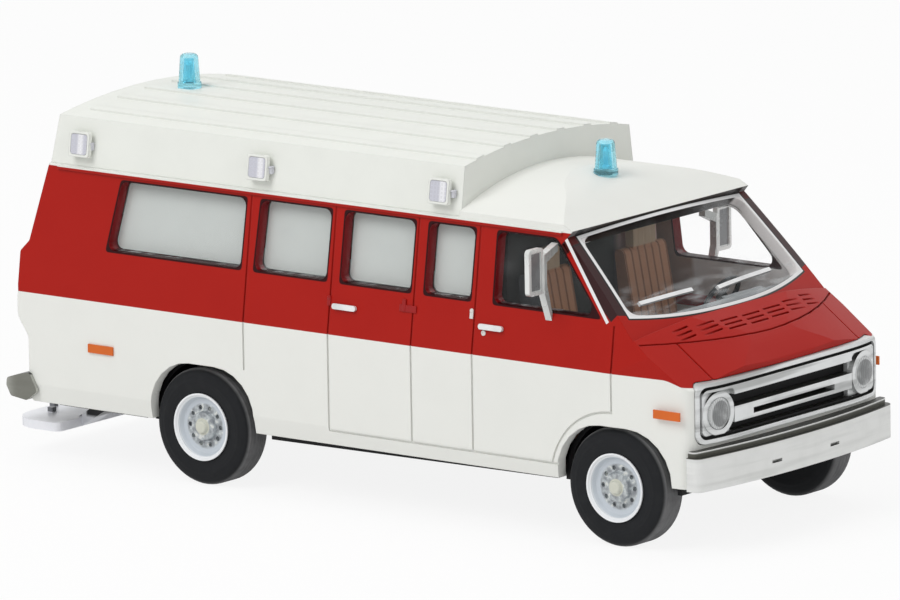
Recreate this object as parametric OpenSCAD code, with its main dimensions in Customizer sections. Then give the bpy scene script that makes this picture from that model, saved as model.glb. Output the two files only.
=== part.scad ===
// Small-scale moulded model of a high-roof ambulance van.
// +X is the front, +Y the left side, +Z up. The origin lies on the ground under the middle of the model.

/* [Overall] */
// Length over the front bumper and the rear step
overall_length = 64.1; // [63.2:0.1:65]
// Front axle to the face of the front bumper
front_overhang = 8.3; // [8:0.05:8.8]
// Front axle to rear axle
wheelbase = 37.1; // [35:0.1:39]
// Width of the body at its belt
body_w = 23.3; // [22.8:0.1:24.5]
// Width of the body at its sills
sill_w = 22.8; // [22.2:0.1:23.2]
// Width of the body at its rain gutters
gutter_w = 20.5; // [19.8:0.1:21.5]
// Height of the sills above the ground
sill_z = 4.4; // [4.2:0.05:4.7]
// Height of the line between the two paints
belt_z = 12.4; // [11.9:0.1:12.9]
// Height of the rain gutters
gutter_z = 21.8; // [21.3:0.1:22.8]
// Rise of the cab roof from gutter to centre line
roof_rise = 2; // [1.2:0.1:2.6]
// Thickness of the moulded body wall
wall = 0.9; // [0.7:0.05:1.1]

/* [Front end] */
// Front axle to the corners of the nose
nose_reach = 6.45; // [6:0.05:6.8]
// Bow of the nose in plan
nose_bow = 0.55; // [0.3:0.05:0.8]
// Width across the nose
nose_w = 22.4; // [21.8:0.1:22.8]
// Height of the front edge of the bonnet
bonnet_z = 12.55; // [12.2:0.05:12.9]
// Front axle forward to the foot of the windscreen
screen_foot_reach = 2.5; // [2:0.1:3]
// Height of the foot of the windscreen
screen_foot_z = 15.7; // [15.3:0.1:16.2]
// Front axle back to the head of the windscreen
screen_head_back = 4.2; // [3.8:0.1:4.6]
// Fall of the windscreen's conical face away from its middle, per unit of radius
screen_cone_share = 0.13; // [0.1:0.01:0.16]

/* [Rear end] */
// Rear axle back to the rear panel at the sills
tail_back = 15.65; // [15:0.05:16.2]
// Forward lean of the rear panel from belt to gutter
tail_lean = 1.15; // [0.6:0.05:1.6]
// Depth of the bulge round the rear belt
tail_bulge = 1.35; // [0.8:0.05:1.5]

/* [Windows] */
// Height of the lower edge of the side windows
window_low_z = 16.15; // [15.7:0.05:16.7]
// Height of the upper edge of the side windows
window_top_z = 21.15; // [20.5:0.05:21.25]
// Corner radius of the windows
window_r = 0.6; // [0.3:0.05:0.9]
// Thickness of the glazing
glass_t = 0.6; // [0.4:0.05:0.8]

/* [High roof] */
// Front axle back to the front face of the high roof
high_front_back = 14.2; // [13.4:0.1:15]
// Height of the long edges of the high roof
high_edge_z = 25.3; // [24.7:0.1:26.3]
// Rise of the high roof from edge to centre line
high_rise = 0.9; // [0.5:0.05:1.3]
// Width of the high roof at its foot
high_foot_w = 20.1; // [19.6:0.1:20.3]
// Width of the high roof at its long edges
high_edge_w = 19.1; // [18.6:0.1:19.5]
// Number of raised ribs along the high roof
rib_count = 6; // [4:1:7]

/* [Wheels] */
// Diameter of a tyre
tyre_d = 8.5; // [8.2:0.05:8.7]
// Width of a tyre
tyre_w = 2.7; // [2.4:0.05:2.85]
// Diameter of a wheel rim over its lip
rim_d = 4.9; // [4.6:0.05:5.2]
// Distance between the outer faces of a pair of wheels
wheels_w = 22.74; // [22.3:0.02:23]
// Diameter of an axle
axle_d = 1; // [0.8:0.05:1.2]

/* [Chrome] */
// Height of the front bumper
bumper_h = 2.8; // [2.4:0.05:3]
// Height of the lower edge of the front bumper
bumper_z = 4.75; // [4.5:0.05:5]
// Width over the front bumper
bumper_w = 23; // [22.8:0.05:23.6]
// Width of the grille frame
grille_w = 21.2; // [20.9:0.05:21.4]
// Height of the grille frame
grille_h = 4.35; // [4.1:0.05:4.4]
// Diameter of a headlamp lens
headlamp_d = 2.3; // [1.9:0.05:2.5]

/* [Lamps and mirrors] */
// Diameter of a beacon at its foot
beacon_d = 1.75; // [1.6:0.05:2]
// Height of a beacon
beacon_h = 2.5; // [2.2:0.05:2.8]
// Side of a square roof lamp
roof_lamp = 1.85; // [1.6:0.05:2]
// Height of a mirror head
mirror_h = 3.3; // [2.8:0.1:3.6]
// Width of a mirror head
mirror_w = 1.65; // [1.4:0.05:1.9]

/* [Rear step] */
// Depth of the rear step, front to back
step_depth = 4.6; // [4.2:0.1:4.9]
// Width of the rear step
step_w = 20.8; // [19:0.1:22]
// Height of the top of the rear step
step_z = 2.7; // [2.4:0.05:3]

/* [Hidden] */
$fn = 48;

// How far a cut runs past the face it leaves
overrun = 0.5;
// Gap between pieces that are set into one another
fit_gap = 0.02;
// Chords in each rounded corner of an outline
corner_steps = 6;

// Stations along the model
front_axle_x = overall_length / 2 - front_overhang;
rear_axle_x = front_axle_x - wheelbase;
axle_z = tyre_d / 2;
nose_x = front_axle_x + nose_reach;
nose_mid_x = nose_x + nose_bow;
screen_foot_x = front_axle_x + screen_foot_reach;
screen_head_x = front_axle_x - screen_head_back;
tail_x = rear_axle_x - tail_back;
tail_bulge_x = tail_x - tail_bulge;
tail_top_x = tail_x + tail_lean;
high_front_x = front_axle_x - high_front_back;
roof_shoulder = 0.4;
roof_top_z = gutter_z + roof_shoulder + roof_rise;

// Outline with a fillet at each corner, from a list of [x, y, fillet radius]
function unit(v) = v / norm(v);
function flat(p) = [p[0], p[1]];
function corner(a, p, b, r) =
    let (u = unit(a - p), v = unit(b - p), half = acos(max(-1, min(1, u * v))) / 2)
    r <= 0 || half > 89 ? [p] :
    let (
        reach = min(r / tan(half), norm(a - p) / 2, norm(b - p) / 2),
        radius = reach * tan(half),
        centre = p + unit(u + v) * radius / sin(half),
        from = p + u * reach - centre,
        to = p + v * reach - centre,
        start = atan2(from[1], from[0]),
        turn = atan2(from[0] * to[1] - from[1] * to[0], from * to)
    )
    [for (i = [0 : corner_steps]) centre + radius * [cos(start + turn * i / corner_steps),
                                                     sin(start + turn * i / corner_steps)]];
function rounded(list) =
    let (n = len(list))
    [for (i = [0 : n - 1]) each corner(flat(list[(i + n - 1) % n]), flat(list[i]),
                                       flat(list[(i + 1) % n]), list[i][2])];

// Radius of an arc that rises by rise over a chord
function arc_radius(chord, rise) = (chord * chord / 4 + rise * rise) / (2 * rise);

module along_y(width) {
    rotate([90, 0, 0]) linear_extrude(width, center = true) children();
}

module along_x(from, to) {
    translate([from, 0, 0]) rotate([90, 0, 90]) linear_extrude(to - from) children();
}

module both_sides() {
    children();
    mirror([0, 1, 0]) children();
}

// A plate with rounded corners, centred
module rounded_plate(width, height, radius) {
    square([width - 2 * radius, height], center = true);
    square([width, height - 2 * radius], center = true);
    for (x = [-1, 1], y = [-1, 1])
        translate([x * (width / 2 - radius), y * (height / 2 - radius)]) circle(radius);
}

// Area under a crowned roof: sides as given, the top a true arc
module under_arc(chord, base_z, rise) {
    radius = arc_radius(chord, rise);
    intersection() {
        translate([0, base_z + rise - radius]) circle(radius, $fn = 180);
        translate([-chord / 2 - overrun, base_z - overrun])
            square([chord + 2 * overrun, rise + 2 * overrun]);
    }
}

// Body form

// Heights up the rear panel, as shares of sill to belt or belt to gutter
bulge_low_share = 0.6;
bulge_full_share = 0.84;
ledge_low_share = 0.31;
ledge_top_share = 0.395;
// Depth of the ledge under the rear windows and of the belt behind it, as shares of the bulge
belt_depth_share = 0.7;
ledge_depth_share = 0.14;
// Radii of the rear panel's folds and of the body's corners in plan
tail_fold_r = 1;
ledge_fold_r = 0.3;
tail_corner_r = 0.7;
nose_corner_r = 0.9;
taper_r = 6;
// Middle of the bonnet, as shares of its length and fall, and the radius there
bonnet_mid_share = 0.62;
bonnet_mid_fall_share = 0.48;
bonnet_r = 9;
bonnet_edge_r = 0.35;
// Brow of the cab roof: its fold behind and above the head of the windscreen, its end, and its radius
brow_fold_back = 3;
brow_fold_rise = 1.55;
brow_back = 9.3;
brow_r = 10;
// Height above the roof at which the side outline stops
outline_rise = 0.6;
// Height of the turn-under at the sills
sill_turn_z = 1.3;
sill_turn_r = 1;
belt_r = 3;

function up(low, high, share) = low + (high - low) * share;

// Side view of the outside
side_outline = [
    [tail_x, sill_z, ledge_fold_r],
    [tail_x, up(sill_z, belt_z, bulge_low_share), tail_fold_r],
    [tail_bulge_x, up(sill_z, belt_z, bulge_full_share), tail_fold_r],
    [tail_x - tail_bulge * belt_depth_share, belt_z, ledge_fold_r],
    [tail_x - tail_bulge * belt_depth_share, up(belt_z, gutter_z, ledge_low_share), ledge_fold_r],
    [tail_x - tail_bulge * ledge_depth_share, up(belt_z, gutter_z, ledge_top_share), ledge_fold_r],
    [tail_top_x, gutter_z, 0],
    [tail_top_x, roof_top_z + outline_rise, 0],
    [screen_head_x - brow_back, roof_top_z + outline_rise, 0],
    [screen_head_x - brow_fold_back, gutter_z + brow_fold_rise, brow_r],
    [screen_head_x, gutter_z, ledge_fold_r],
    [screen_foot_x, screen_foot_z, 0],
    [up(screen_foot_x, nose_mid_x, bonnet_mid_share),
     up(screen_foot_z, bonnet_z, bonnet_mid_fall_share), bonnet_r],
    [nose_mid_x, bonnet_z, bonnet_edge_r],
    [nose_mid_x, sill_z, ledge_fold_r]
];

// Side view of the inside, open below
inside_outline = [
    [tail_x + wall, sill_z - overrun, 0],
    [tail_x + wall, belt_z, 0],
    [tail_top_x + wall, gutter_z, 0],
    [tail_top_x + wall, roof_top_z + outline_rise, 0],
    [screen_head_x - brow_back - wall, roof_top_z + outline_rise - wall, 0],
    [screen_head_x - brow_fold_back - wall, gutter_z + brow_fold_rise - wall, brow_r],
    [screen_head_x - wall, gutter_z - wall, 0],
    [screen_foot_x - wall, screen_foot_z - wall, 0],
    [up(screen_foot_x, nose_mid_x, bonnet_mid_share) - wall,
     up(screen_foot_z, bonnet_z, bonnet_mid_fall_share) - wall, bonnet_r],
    [nose_mid_x - nose_bow - wall, bonnet_z - wall, 0],
    [nose_mid_x - nose_bow - wall, sill_z - overrun, 0]
];

// Cross-section, set in by a wall or not at all
module section(inset) {
    low = inset > 0 ? sill_z - overrun : sill_z;
    shoulder_z = gutter_z + roof_shoulder - inset;
    intersection() {
        polygon(rounded([
            [-(sill_w / 2 - inset), low, 0],
            [-(body_w / 2 - inset), sill_z + sill_turn_z, sill_turn_r],
            [-(body_w / 2 - inset), belt_z, belt_r],
            [-(gutter_w / 2 - inset), gutter_z, 0],
            [-(gutter_w / 2 - inset), roof_top_z + outline_rise, 0],
            [gutter_w / 2 - inset, roof_top_z + outline_rise, 0],
            [gutter_w / 2 - inset, gutter_z, 0],
            [body_w / 2 - inset, belt_z, belt_r],
            [body_w / 2 - inset, sill_z + sill_turn_z, sill_turn_r],
            [sill_w / 2 - inset, low, 0]
        ]));
        union() {
            under_arc(gutter_w, shoulder_z, roof_rise);
            translate([-body_w, low - overrun]) square([2 * body_w, shoulder_z - low + overrun]);
        }
    }
}

// Plan, set in by a wall or not at all; the nose is bowed
nose_steps = 8;
plan_w = max(sill_w, body_w, gutter_w);
function nose_front(inset) =
    [for (i = [0 : nose_steps])
        let (t = 1 - 2 * i / nose_steps)
        [nose_x + nose_bow * (1 - t * t) - inset, t * (nose_w / 2 - inset), abs(t) == 1 ? nose_corner_r : 0]];
module plan(inset) {
    polygon(rounded(concat(
        [[tail_bulge_x + inset, -(plan_w / 2 - inset), tail_corner_r]],
        [[tail_bulge_x + inset, plan_w / 2 - inset, tail_corner_r]],
        [[front_axle_x, plan_w / 2 - inset, taper_r]],
        nose_front(inset),
        [[front_axle_x, -(plan_w / 2 - inset), taper_r]]
    )));
}

// Windscreen face: a shallow cone whose point lies below the foot of the screen
screen_run = norm([screen_foot_x - screen_head_x, gutter_z - screen_foot_z]);
screen_slope = atan2(gutter_z - screen_foot_z, screen_foot_x - screen_head_x);
screen_point_share = 0.38;
screen_tilt = atan(screen_cone_share);
screen_disc_share = 2.2;
screen_disc_r = screen_run * screen_disc_share;

// Places children in the screen's own frame: X down the slope, Y across, Z out of the glass, from the foot
module on_screen() {
    translate([screen_foot_x, 0, screen_foot_z]) rotate([0, screen_slope, 0]) children();
}

// Everything under the screen's face, sunk by depth
module under_screen(depth) {
    on_screen() translate([screen_run * screen_point_share, 0, -depth]) rotate([0, screen_tilt, 0])
        translate([0, 0, -screen_disc_r * screen_cone_share])
            cylinder(r1 = screen_disc_r, r2 = 0, h = screen_disc_r * screen_cone_share, $fn = 120);
}

// The space outside the screen's face, between its foot and its head; the face lies a little sunk
screen_cut_h = 6;
screen_sink = 0.12;
module outside_screen(depth) {
    difference() {
        on_screen() translate([-screen_run, -body_w, -screen_disc_r * screen_cone_share / 2 - depth])
            cube([screen_run, 2 * body_w, screen_cut_h]);
        under_screen(depth + screen_sink);
    }
}

// Bonnet crown: the space above an arc that runs down the bonnet
bonnet_crown_r = 44;
bonnet_lift = 0.35;
bonnet_run = norm([nose_mid_x - screen_foot_x, screen_foot_z - bonnet_z]);
bonnet_slope = atan2(screen_foot_z - bonnet_z, nose_mid_x - screen_foot_x);
module above_bonnet(depth) {
    difference() {
        translate([screen_foot_x, 0, screen_foot_z]) rotate([0, bonnet_slope, 0])
            translate([0, 0, bonnet_lift - depth]) along_x(-bonnet_run, 2 * bonnet_run) difference() {
                translate([-body_w, -bonnet_run]) square([2 * body_w, 2 * bonnet_run]);
                translate([0, -bonnet_crown_r]) circle(bonnet_crown_r, $fn = 180);
                translate([-body_w, -2 * bonnet_run]) square([2 * body_w, bonnet_run + wall]);
            }
        // The screen's own side of its foot
        on_screen() translate([-2 * screen_run, -2 * body_w, -body_w])
            cube([2 * screen_run, 4 * body_w, 2 * body_w]);
    }
}

// The body's outside, or its inside when set in by a wall
module body_form(outline, inset) {
    difference() {
        intersection() {
            along_y(2 * body_w) polygon(rounded(outline));
            along_x(tail_bulge_x - overrun, nose_mid_x + overrun) section(inset);
            translate([0, 0, -overrun]) linear_extrude(roof_top_z + 2 * overrun) plan(inset);
        }
        outside_screen(inset);
        above_bonnet(inset);
    }
}

// Windows

// Each side window, rear to front: [rear foot, rear head, front foot, front head], as shares of the
// wheelbase behind the front axle. The last is the cab door's.
window_shares = [
    [1.232, 1.207, 0.901, 0.898],
    [0.867, 0.861, 0.691, 0.689],
    [0.656, 0.655, 0.487, 0.486],
    [0.453, 0.452, 0.343, 0.342],
    [0.287, 0.288, 0.037, 0.15]
];
saloon_windows = [0, 1, 2, 3];
cab_window = 4;
function window_x(share) = front_axle_x - share * wheelbase;
module window_outline(i, inset) {
    w = window_shares[i];
    polygon(rounded([
        [window_x(w[0]) + inset, window_low_z + inset, window_r],
        [window_x(w[1]) + inset, window_top_z - inset, window_r],
        [window_x(w[3]) - inset, window_top_z - inset, window_r],
        [window_x(w[2]) - inset, window_low_z + inset, window_r]
    ]));
}

// Rear door windows
rear_window_w = 7.6;
rear_window_gap = 1.6;
rear_window_top_drop = 0.9;
rear_window_low_rise = 0.55;
rear_window_low_z = up(belt_z, gutter_z, ledge_top_share) + rear_window_low_rise;
rear_window_h = gutter_z - rear_window_top_drop - rear_window_low_z;
module rear_window_outline(inset) {
    for (side = [-1, 1])
        translate([side * (rear_window_w + rear_window_gap) / 2, rear_window_low_z + rear_window_h / 2])
            rounded_plate(rear_window_w - 2 * inset, rear_window_h - 2 * inset, window_r);
}

// Windscreen opening in the screen's frame: widths, margins from foot and head, the rise of its foot
// towards the pillars, and its corner radius
screen_foot_pillar = 1.75;
screen_head_pillar = 1;
screen_foot_w = body_w - 2 * screen_foot_pillar;
screen_head_w = gutter_w - 2 * screen_head_pillar;
screen_foot_margin = 0.4;
screen_head_margin = 0.4;
screen_foot_rise = 1.5;
screen_r = 0.9;
screen_steps = 12;
function screen_foot_edge(inset) =
    [for (i = [0 : screen_steps]) let (t = 2 * i / screen_steps - 1)
        [-screen_foot_margin - screen_foot_rise * t * t - inset, t * (screen_foot_w / 2 - inset),
         abs(t) == 1 ? screen_r : 0]];
module screen_outline(inset) {
    polygon(rounded(concat(screen_foot_edge(inset), [
        [-screen_run + screen_head_margin + inset, screen_head_w / 2 - inset, screen_r],
        [-screen_run + screen_head_margin + inset, -(screen_head_w / 2 - inset), screen_r]
    ])));
}

// Wheel arches

// Radius of the wheel wells, then each arch's reach behind and before its axle, its headroom over the
// tyre and the radius of its upper corners
arch_r = 4.7;
front_arch_back = 4.85;
front_arch_fwd = 4.95;
front_arch_room = 0.12;
front_arch_r = 3.8;
rear_arch_back = 4.4;
rear_arch_fwd = 5.1;
rear_arch_room = 0.35;
rear_arch_r = 3.6;
// Lower edge of the body before the front wheels, above the sills
valance_rise = 0.4;
module arch(axle_x, back, fwd, room, radius) {
    translate([axle_x, 0, axle_z]) along_y(2 * body_w) polygon(rounded([
        [-back, -arch_r, 0],
        [-back, tyre_d / 2 + room, radius],
        [fwd, tyre_d / 2 + room, radius],
        [fwd, -arch_r, 0]
    ]));
}
module arch_cut() {
    arch(front_axle_x, front_arch_back, front_arch_fwd, front_arch_room, front_arch_r);
    arch(rear_axle_x, rear_arch_back, rear_arch_fwd, rear_arch_room, rear_arch_r);
    translate([front_axle_x, -body_w, 0]) cube([2 * nose_reach, 2 * body_w, sill_z + valance_rise]);
}

// Engraved panel gaps

// Rain gutter's lip, and its place under the gutter line; the gaps end below it
gutter_lip = 0.2;
gutter_lip_h = 0.28;
gutter_drop = 0.06;
lip_z = gutter_z - gutter_lip_h - gutter_drop;
seam_top_z = lip_z - gutter_drop;
seam_w = 0.14;
seam_depth = 0.12;
// Upright door gaps as shares of the wheelbase behind the front axle: [place, lower end]
rocker_z = 5.45;
rear_seam_low_z = axle_z + arch_r;
front_seam_low_z = axle_z + arch_r + window_r;
seam_shares = [0.885, 0.678, 0.477, 0.33, 0];
seam_lows = [rear_seam_low_z, rocker_z, rocker_z, rocker_z, front_seam_low_z];
seam_tops = [seam_top_z, seam_top_z, seam_top_z, seam_top_z, screen_foot_z];
// The gap round the front arch keeps this far from it
arch_seam_r = arch_r + window_r;
module door_gaps() {
    for (i = [0 : len(seam_shares) - 1])
        translate([window_x(seam_shares[i]) - seam_w / 2, -body_w, seam_lows[i]])
            cube([seam_w, 2 * body_w, seam_tops[i] - seam_lows[i]]);
    translate([window_x(seam_shares[1]), -body_w, rocker_z - seam_w / 2])
        cube([front_axle_x - arch_r - window_x(seam_shares[1]), 2 * body_w, seam_w]);
    translate([front_axle_x, 0, axle_z]) along_y(2 * body_w) difference() {
        circle(arch_seam_r + seam_w);
        circle(arch_seam_r);
        translate([0, -2 * arch_r]) square([2 * arch_r, 4 * arch_r]);
        translate([-2 * arch_r, -2 * arch_r]) square([4 * arch_r, 2 * arch_r + rocker_z - axle_z]);
    }
}
module seam_cut() {
    both_sides() intersection() {
        door_gaps();
        side_skin();
    }
    // Rear doors: the middle gap
    translate([tail_bulge_x - overrun, -seam_w / 2, rocker_z])
        cube([overrun + tail_bulge * (1 - belt_depth_share) + seam_depth, seam_w, gutter_z - rocker_z]);
}

// A layer of the right-hand side as deep as a panel gap, run out past the skin
module side_skin() {
    intersection() {
        along_x(tail_bulge_x, nose_mid_x) difference() {
            section(-overrun);
            section_core();
        }
        translate([tail_bulge_x, -body_w, 0]) cube([nose_mid_x - tail_bulge_x, body_w, roof_top_z]);
    }
}
module section_core() {
    polygon(rounded([
        [-(sill_w / 2 - seam_depth), sill_z - overrun, 0],
        [-(body_w / 2 - seam_depth), sill_z + sill_turn_z, sill_turn_r],
        [-(body_w / 2 - seam_depth), belt_z, belt_r],
        [-(gutter_w / 2 - seam_depth), gutter_z + overrun, 0],
        [body_w, gutter_z + overrun, 0],
        [body_w, sill_z - overrun, 0]
    ]));
}

// Bonnet gaps, the bowed gap at its rear edge and the air slots between that and the screen. Places are
// measured down the bonnet from the foot of the screen.
bonnet_seam_y = 8.5;
bonnet_bulge = 0.29;
cowl_run = 3;
cowl_bow = 2.7;
cowl_steps = 12;
vent_count = 7;
vent_w = 2;
vent_pitch = 2.5;
vent_h = 0.16;
vent_rows = 3;
vent_row_pitch = 0.45;
vent_setback = 1.1;
// How far a line across the bonnet bends back at y
function cowl_bend(y) = cowl_bow * pow(2 * y / nose_w, 2);
// Height of the bonnet's skin over the straight line from the screen to the nose
function bonnet_skin(run, y) =
    min(bonnet_bulge * run / (bonnet_run * bonnet_mid_share), bonnet_lift - y * y / (2 * bonnet_crown_r));
module bonnet_cut() {
    half_w = nose_w / 2;
    translate([screen_foot_x, 0, screen_foot_z]) rotate([0, bonnet_slope, 0]) {
        both_sides() translate([cowl_run - cowl_bend(bonnet_seam_y), bonnet_seam_y,
                                bonnet_skin(bonnet_run, bonnet_seam_y) - seam_depth])
            cube([2 * bonnet_run, seam_w, wall]);
        for (i = [0 : cowl_steps - 1]) {
            from = half_w * (2 * i / cowl_steps - 1);
            to = half_w * (2 * (i + 1) / cowl_steps - 1) + seam_w / 2;
            translate([cowl_run, 0, bonnet_skin(cowl_run, max(abs(from), abs(to))) - seam_depth])
                linear_extrude(wall) polygon([
                    [-cowl_bend(from), from],
                    [seam_w - cowl_bend(from), from],
                    [seam_w - cowl_bend(to), to],
                    [-cowl_bend(to), to]
                ]);
        }
        for (row = [0 : vent_rows - 1], i = [0 : vent_count - 1]) {
            y = (i - (vent_count - 1) / 2) * vent_pitch;
            run = vent_setback + row * vent_row_pitch - cowl_bend(y) / 2;
            translate([run, y - vent_w / 2, bonnet_skin(run, y) - seam_depth]) cube([vent_h, vent_w, wall]);
        }
    }
}

// Rain gutter: a small lip along the top of each side
module gutter_lips() {
    both_sides() translate([tail_top_x + wall, gutter_w / 2 - wall / 2, lip_z])
        cube([screen_head_x - tail_top_x - 2 * wall, wall / 2 + gutter_lip, gutter_lip_h]);
}

// Opening in the nose behind the grille
grille_low_z = bonnet_z - bonnet_edge_r - grille_h;
grille_mid_z = grille_low_z + grille_h / 2;
grille_r = 0.75;
grille_seat = 0.46;
grille_sink = 0.45;
module grille_opening(inset, depth) {
    translate([nose_x - depth, 0, grille_mid_z]) rotate([90, 0, 90])
        linear_extrude(depth + nose_bow + overrun)
            rounded_plate(grille_w - 2 * inset, grille_h - 2 * inset, grille_r);
}

module body_shell() {
    color("white") difference() {
        union() {
            difference() {
                body_form(side_outline, 0);
                body_form(inside_outline, wall);
            }
            gutter_lips();
        }
        // Room for the high roof
        translate([tail_bulge_x - overrun, -body_w, gutter_z])
            cube([high_front_x - tail_bulge_x + overrun, 2 * body_w, roof_top_z - gutter_z + 2 * overrun]);
        arch_cut();
        for (i = [0 : len(window_shares) - 1]) along_y(2 * body_w) window_outline(i, 0);
        along_x(tail_bulge_x - overrun, tail_x + tail_lean + wall + overrun) rear_window_outline(0);
        on_screen() translate([0, 0, -2 * wall]) linear_extrude(3 * wall) screen_outline(0);
        seam_cut();
        bonnet_cut();
        grille_opening(grille_seat, 2 * wall);
        grille_opening(-fit_gap, grille_sink + fit_gap);
        // Seat and hole of the front beacon
        translate([beacon_front_x, 0, beacon_front_z - fit_gap])
            cylinder(d = beacon_d + 2 * fit_gap, h = roof_rise);
        translate([beacon_front_x, 0, gutter_z]) cylinder(d = beacon_pin_d + 2 * fit_gap, h = 2 * roof_rise);
    }
}

// High roof

high_lean = 0.75;
high_wall = 0.8;
high_edge_r = 0.5;
high_tail_x = tail_top_x + fit_gap;
rib_w = 0.8;
rib_h = 0.12;
rib_inset = 1.4;
module high_section(inset) {
    edge_w = high_edge_w - 2 * inset;
    foot_w = high_foot_w - 2 * inset;
    radius = arc_radius(edge_w, high_rise);
    low = inset > 0 ? gutter_z - overrun : gutter_z;
    intersection() {
        polygon(rounded([
            [-foot_w / 2, low, 0],
            [-edge_w / 2, high_edge_z - inset, 0],
            [-edge_w / 2, high_edge_z + 2 * high_rise, 0],
            [edge_w / 2, high_edge_z + 2 * high_rise, 0],
            [edge_w / 2, high_edge_z - inset, 0],
            [foot_w / 2, low, 0]
        ]));
        union() {
            translate([0, high_edge_z + high_rise - inset - radius]) circle(radius, $fn = 180);
            translate([-foot_w, low - overrun]) square([2 * foot_w, high_edge_z - inset - low]);
        }
    }
}
function high_outline(inset) = [
    [high_tail_x + inset, inset > 0 ? gutter_z - overrun : gutter_z, 0],
    [high_tail_x + high_lean + inset, high_edge_z + 2 * high_rise, 0],
    [high_front_x - inset, high_edge_z + 2 * high_rise, 0],
    [high_front_x - inset, inset > 0 ? gutter_z - overrun : gutter_z, 0]
];

// Roof lamps: places along the high roof as shares of its length, and height on its side
roof_lamp_shares = [0.06, 0.507, 0.953];
roof_lamp_z = 23.4;
roof_lamp_proud = 0.65;
roof_lamp_t = 0.34;
roof_lamp_foot_share = 0.66;
roof_lamp_frame = 0.2;
roof_lamp_lens_t = 0.22;
roof_lamp_r = 0.2;
high_side_angle = atan2((high_foot_w - high_edge_w) / 2, high_edge_z - gutter_z);
function roof_lamp_x(share) = up(high_tail_x + high_lean, high_front_x, share);
// Places children on the left side of the high roof: X along it, Z outwards
module on_high_side(x) {
    width = up(high_foot_w, high_edge_w, (roof_lamp_z - gutter_z) / (high_edge_z - gutter_z));
    translate([x, width / 2, roof_lamp_z]) rotate([-90 + high_side_angle, 0, 0]) children();
}
module roof_lamp_bodies() {
    foot = roof_lamp * roof_lamp_foot_share;
    both_sides() for (share = roof_lamp_shares) on_high_side(roof_lamp_x(share)) {
        translate([0, 0, -high_wall / 2]) linear_extrude(high_wall / 2 + roof_lamp_proud - roof_lamp_t / 2)
            rounded_plate(foot, foot, roof_lamp_r);
        translate([0, 0, roof_lamp_proud - roof_lamp_t]) linear_extrude(roof_lamp_t)
            rounded_plate(roof_lamp, roof_lamp, roof_lamp_r);
    }
}
module roof_lamp_recess(gap, depth) {
    lens = roof_lamp - 2 * roof_lamp_frame + 2 * gap;
    on_high_side(0) translate([0, 0, roof_lamp_proud - depth])
        linear_extrude(depth + (gap > 0 ? overrun : 0)) rounded_plate(lens, lens, roof_lamp_r);
}

module high_roof() {
    color("white") difference() {
        union() {
            intersection() {
                along_y(2 * body_w) polygon(rounded(high_outline(0)));
                along_x(high_tail_x - overrun, high_front_x + overrun) high_section(0);
            }
            rib_pitch = (high_edge_w - 2 * rib_inset - rib_w) / (rib_count - 1);
            rib_arc = arc_radius(high_edge_w, high_rise);
            intersection() {
                along_y(2 * body_w) polygon(rounded(high_outline(0)));
                along_x(high_tail_x + high_lean + rib_inset, high_front_x) difference() {
                    translate([0, high_edge_z + high_rise - rib_arc]) circle(rib_arc + rib_h, $fn = 180);
                    translate([0, high_edge_z + high_rise - rib_arc]) circle(rib_arc - rib_h, $fn = 180);
                    translate([-rib_arc, high_edge_z - 2 * rib_arc]) square([2 * rib_arc, 2 * rib_arc]);
                    for (i = [-1 : rib_count - 1])
                        translate([-high_edge_w / 2 + rib_inset + rib_w + i * rib_pitch,
                                   high_edge_z - overrun])
                            square([rib_pitch - rib_w, 2 * high_rise]);
                }
            }
            roof_lamp_bodies();
        }
        intersection() {
            along_y(2 * body_w) polygon(rounded(high_outline(high_wall)));
            along_x(high_tail_x, high_front_x) high_section(high_wall);
        }
        both_sides() for (share = roof_lamp_shares)
            translate([roof_lamp_x(share), 0, 0]) roof_lamp_recess(fit_gap, roof_lamp_lens_t + fit_gap);
        translate([beacon_rear_x, 0, high_edge_z - overrun])
            cylinder(d = beacon_pin_d + 2 * fit_gap, h = 2 * high_rise + 2 * overrun);
    }
}

module roof_lamp_lenses() {
    color("silver") both_sides() for (share = roof_lamp_shares) translate([roof_lamp_x(share), 0, 0])
        roof_lamp_recess(0, roof_lamp_lens_t);
}

// Beacons

beacon_top_share = 0.74;
beacon_foot_h = 0.42;
beacon_lip = 0.08;
beacon_pin_d = 0.7;
beacon_pin_h = 1.2;
beacon_wall = 0.3;
beacon_front_back = 9.05;
beacon_sink = 0.02;
beacon_rear_fwd = 4.8;
beacon_front_x = front_axle_x - beacon_front_back;
beacon_rear_x = tail_top_x + beacon_rear_fwd;
brow_share = (beacon_front_back - screen_head_back - brow_fold_back) / (brow_back - brow_fold_back);
beacon_front_z = up(gutter_z + brow_fold_rise, roof_top_z + outline_rise, brow_share) - beacon_sink;
beacon_rear_z = high_edge_z + high_rise;
module beacon(x, z) {
    color("deepskyblue") translate([x, 0, z]) difference() {
        rotate_extrude() polygon(rounded([
            [0, -beacon_pin_h, 0],
            [beacon_pin_d / 2, -beacon_pin_h, 0],
            [beacon_pin_d / 2, 0, 0],
            [beacon_d / 2, 0, 0],
            [beacon_d / 2, beacon_foot_h, beacon_lip],
            [beacon_d / 2 - beacon_lip, beacon_foot_h, 0],
            [beacon_d / 2 * beacon_top_share, beacon_h, beacon_wall],
            [0, beacon_h, 0]
        ]));
        rotate_extrude() polygon([
            [0, beacon_foot_h],
            [beacon_d / 2 - beacon_wall - beacon_lip, beacon_foot_h],
            [beacon_d / 2 * beacon_top_share - beacon_wall, beacon_h - beacon_wall],
            [0, beacon_h - beacon_wall]
        ]);
    }
}
module beacon_front() { beacon(beacon_front_x, beacon_front_z); }
module beacon_rear() { beacon(beacon_rear_x, beacon_rear_z); }

// Glazing

glass_recess = 0.35;
glass_gap = 0.03;
blind_t = 0.2;
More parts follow.
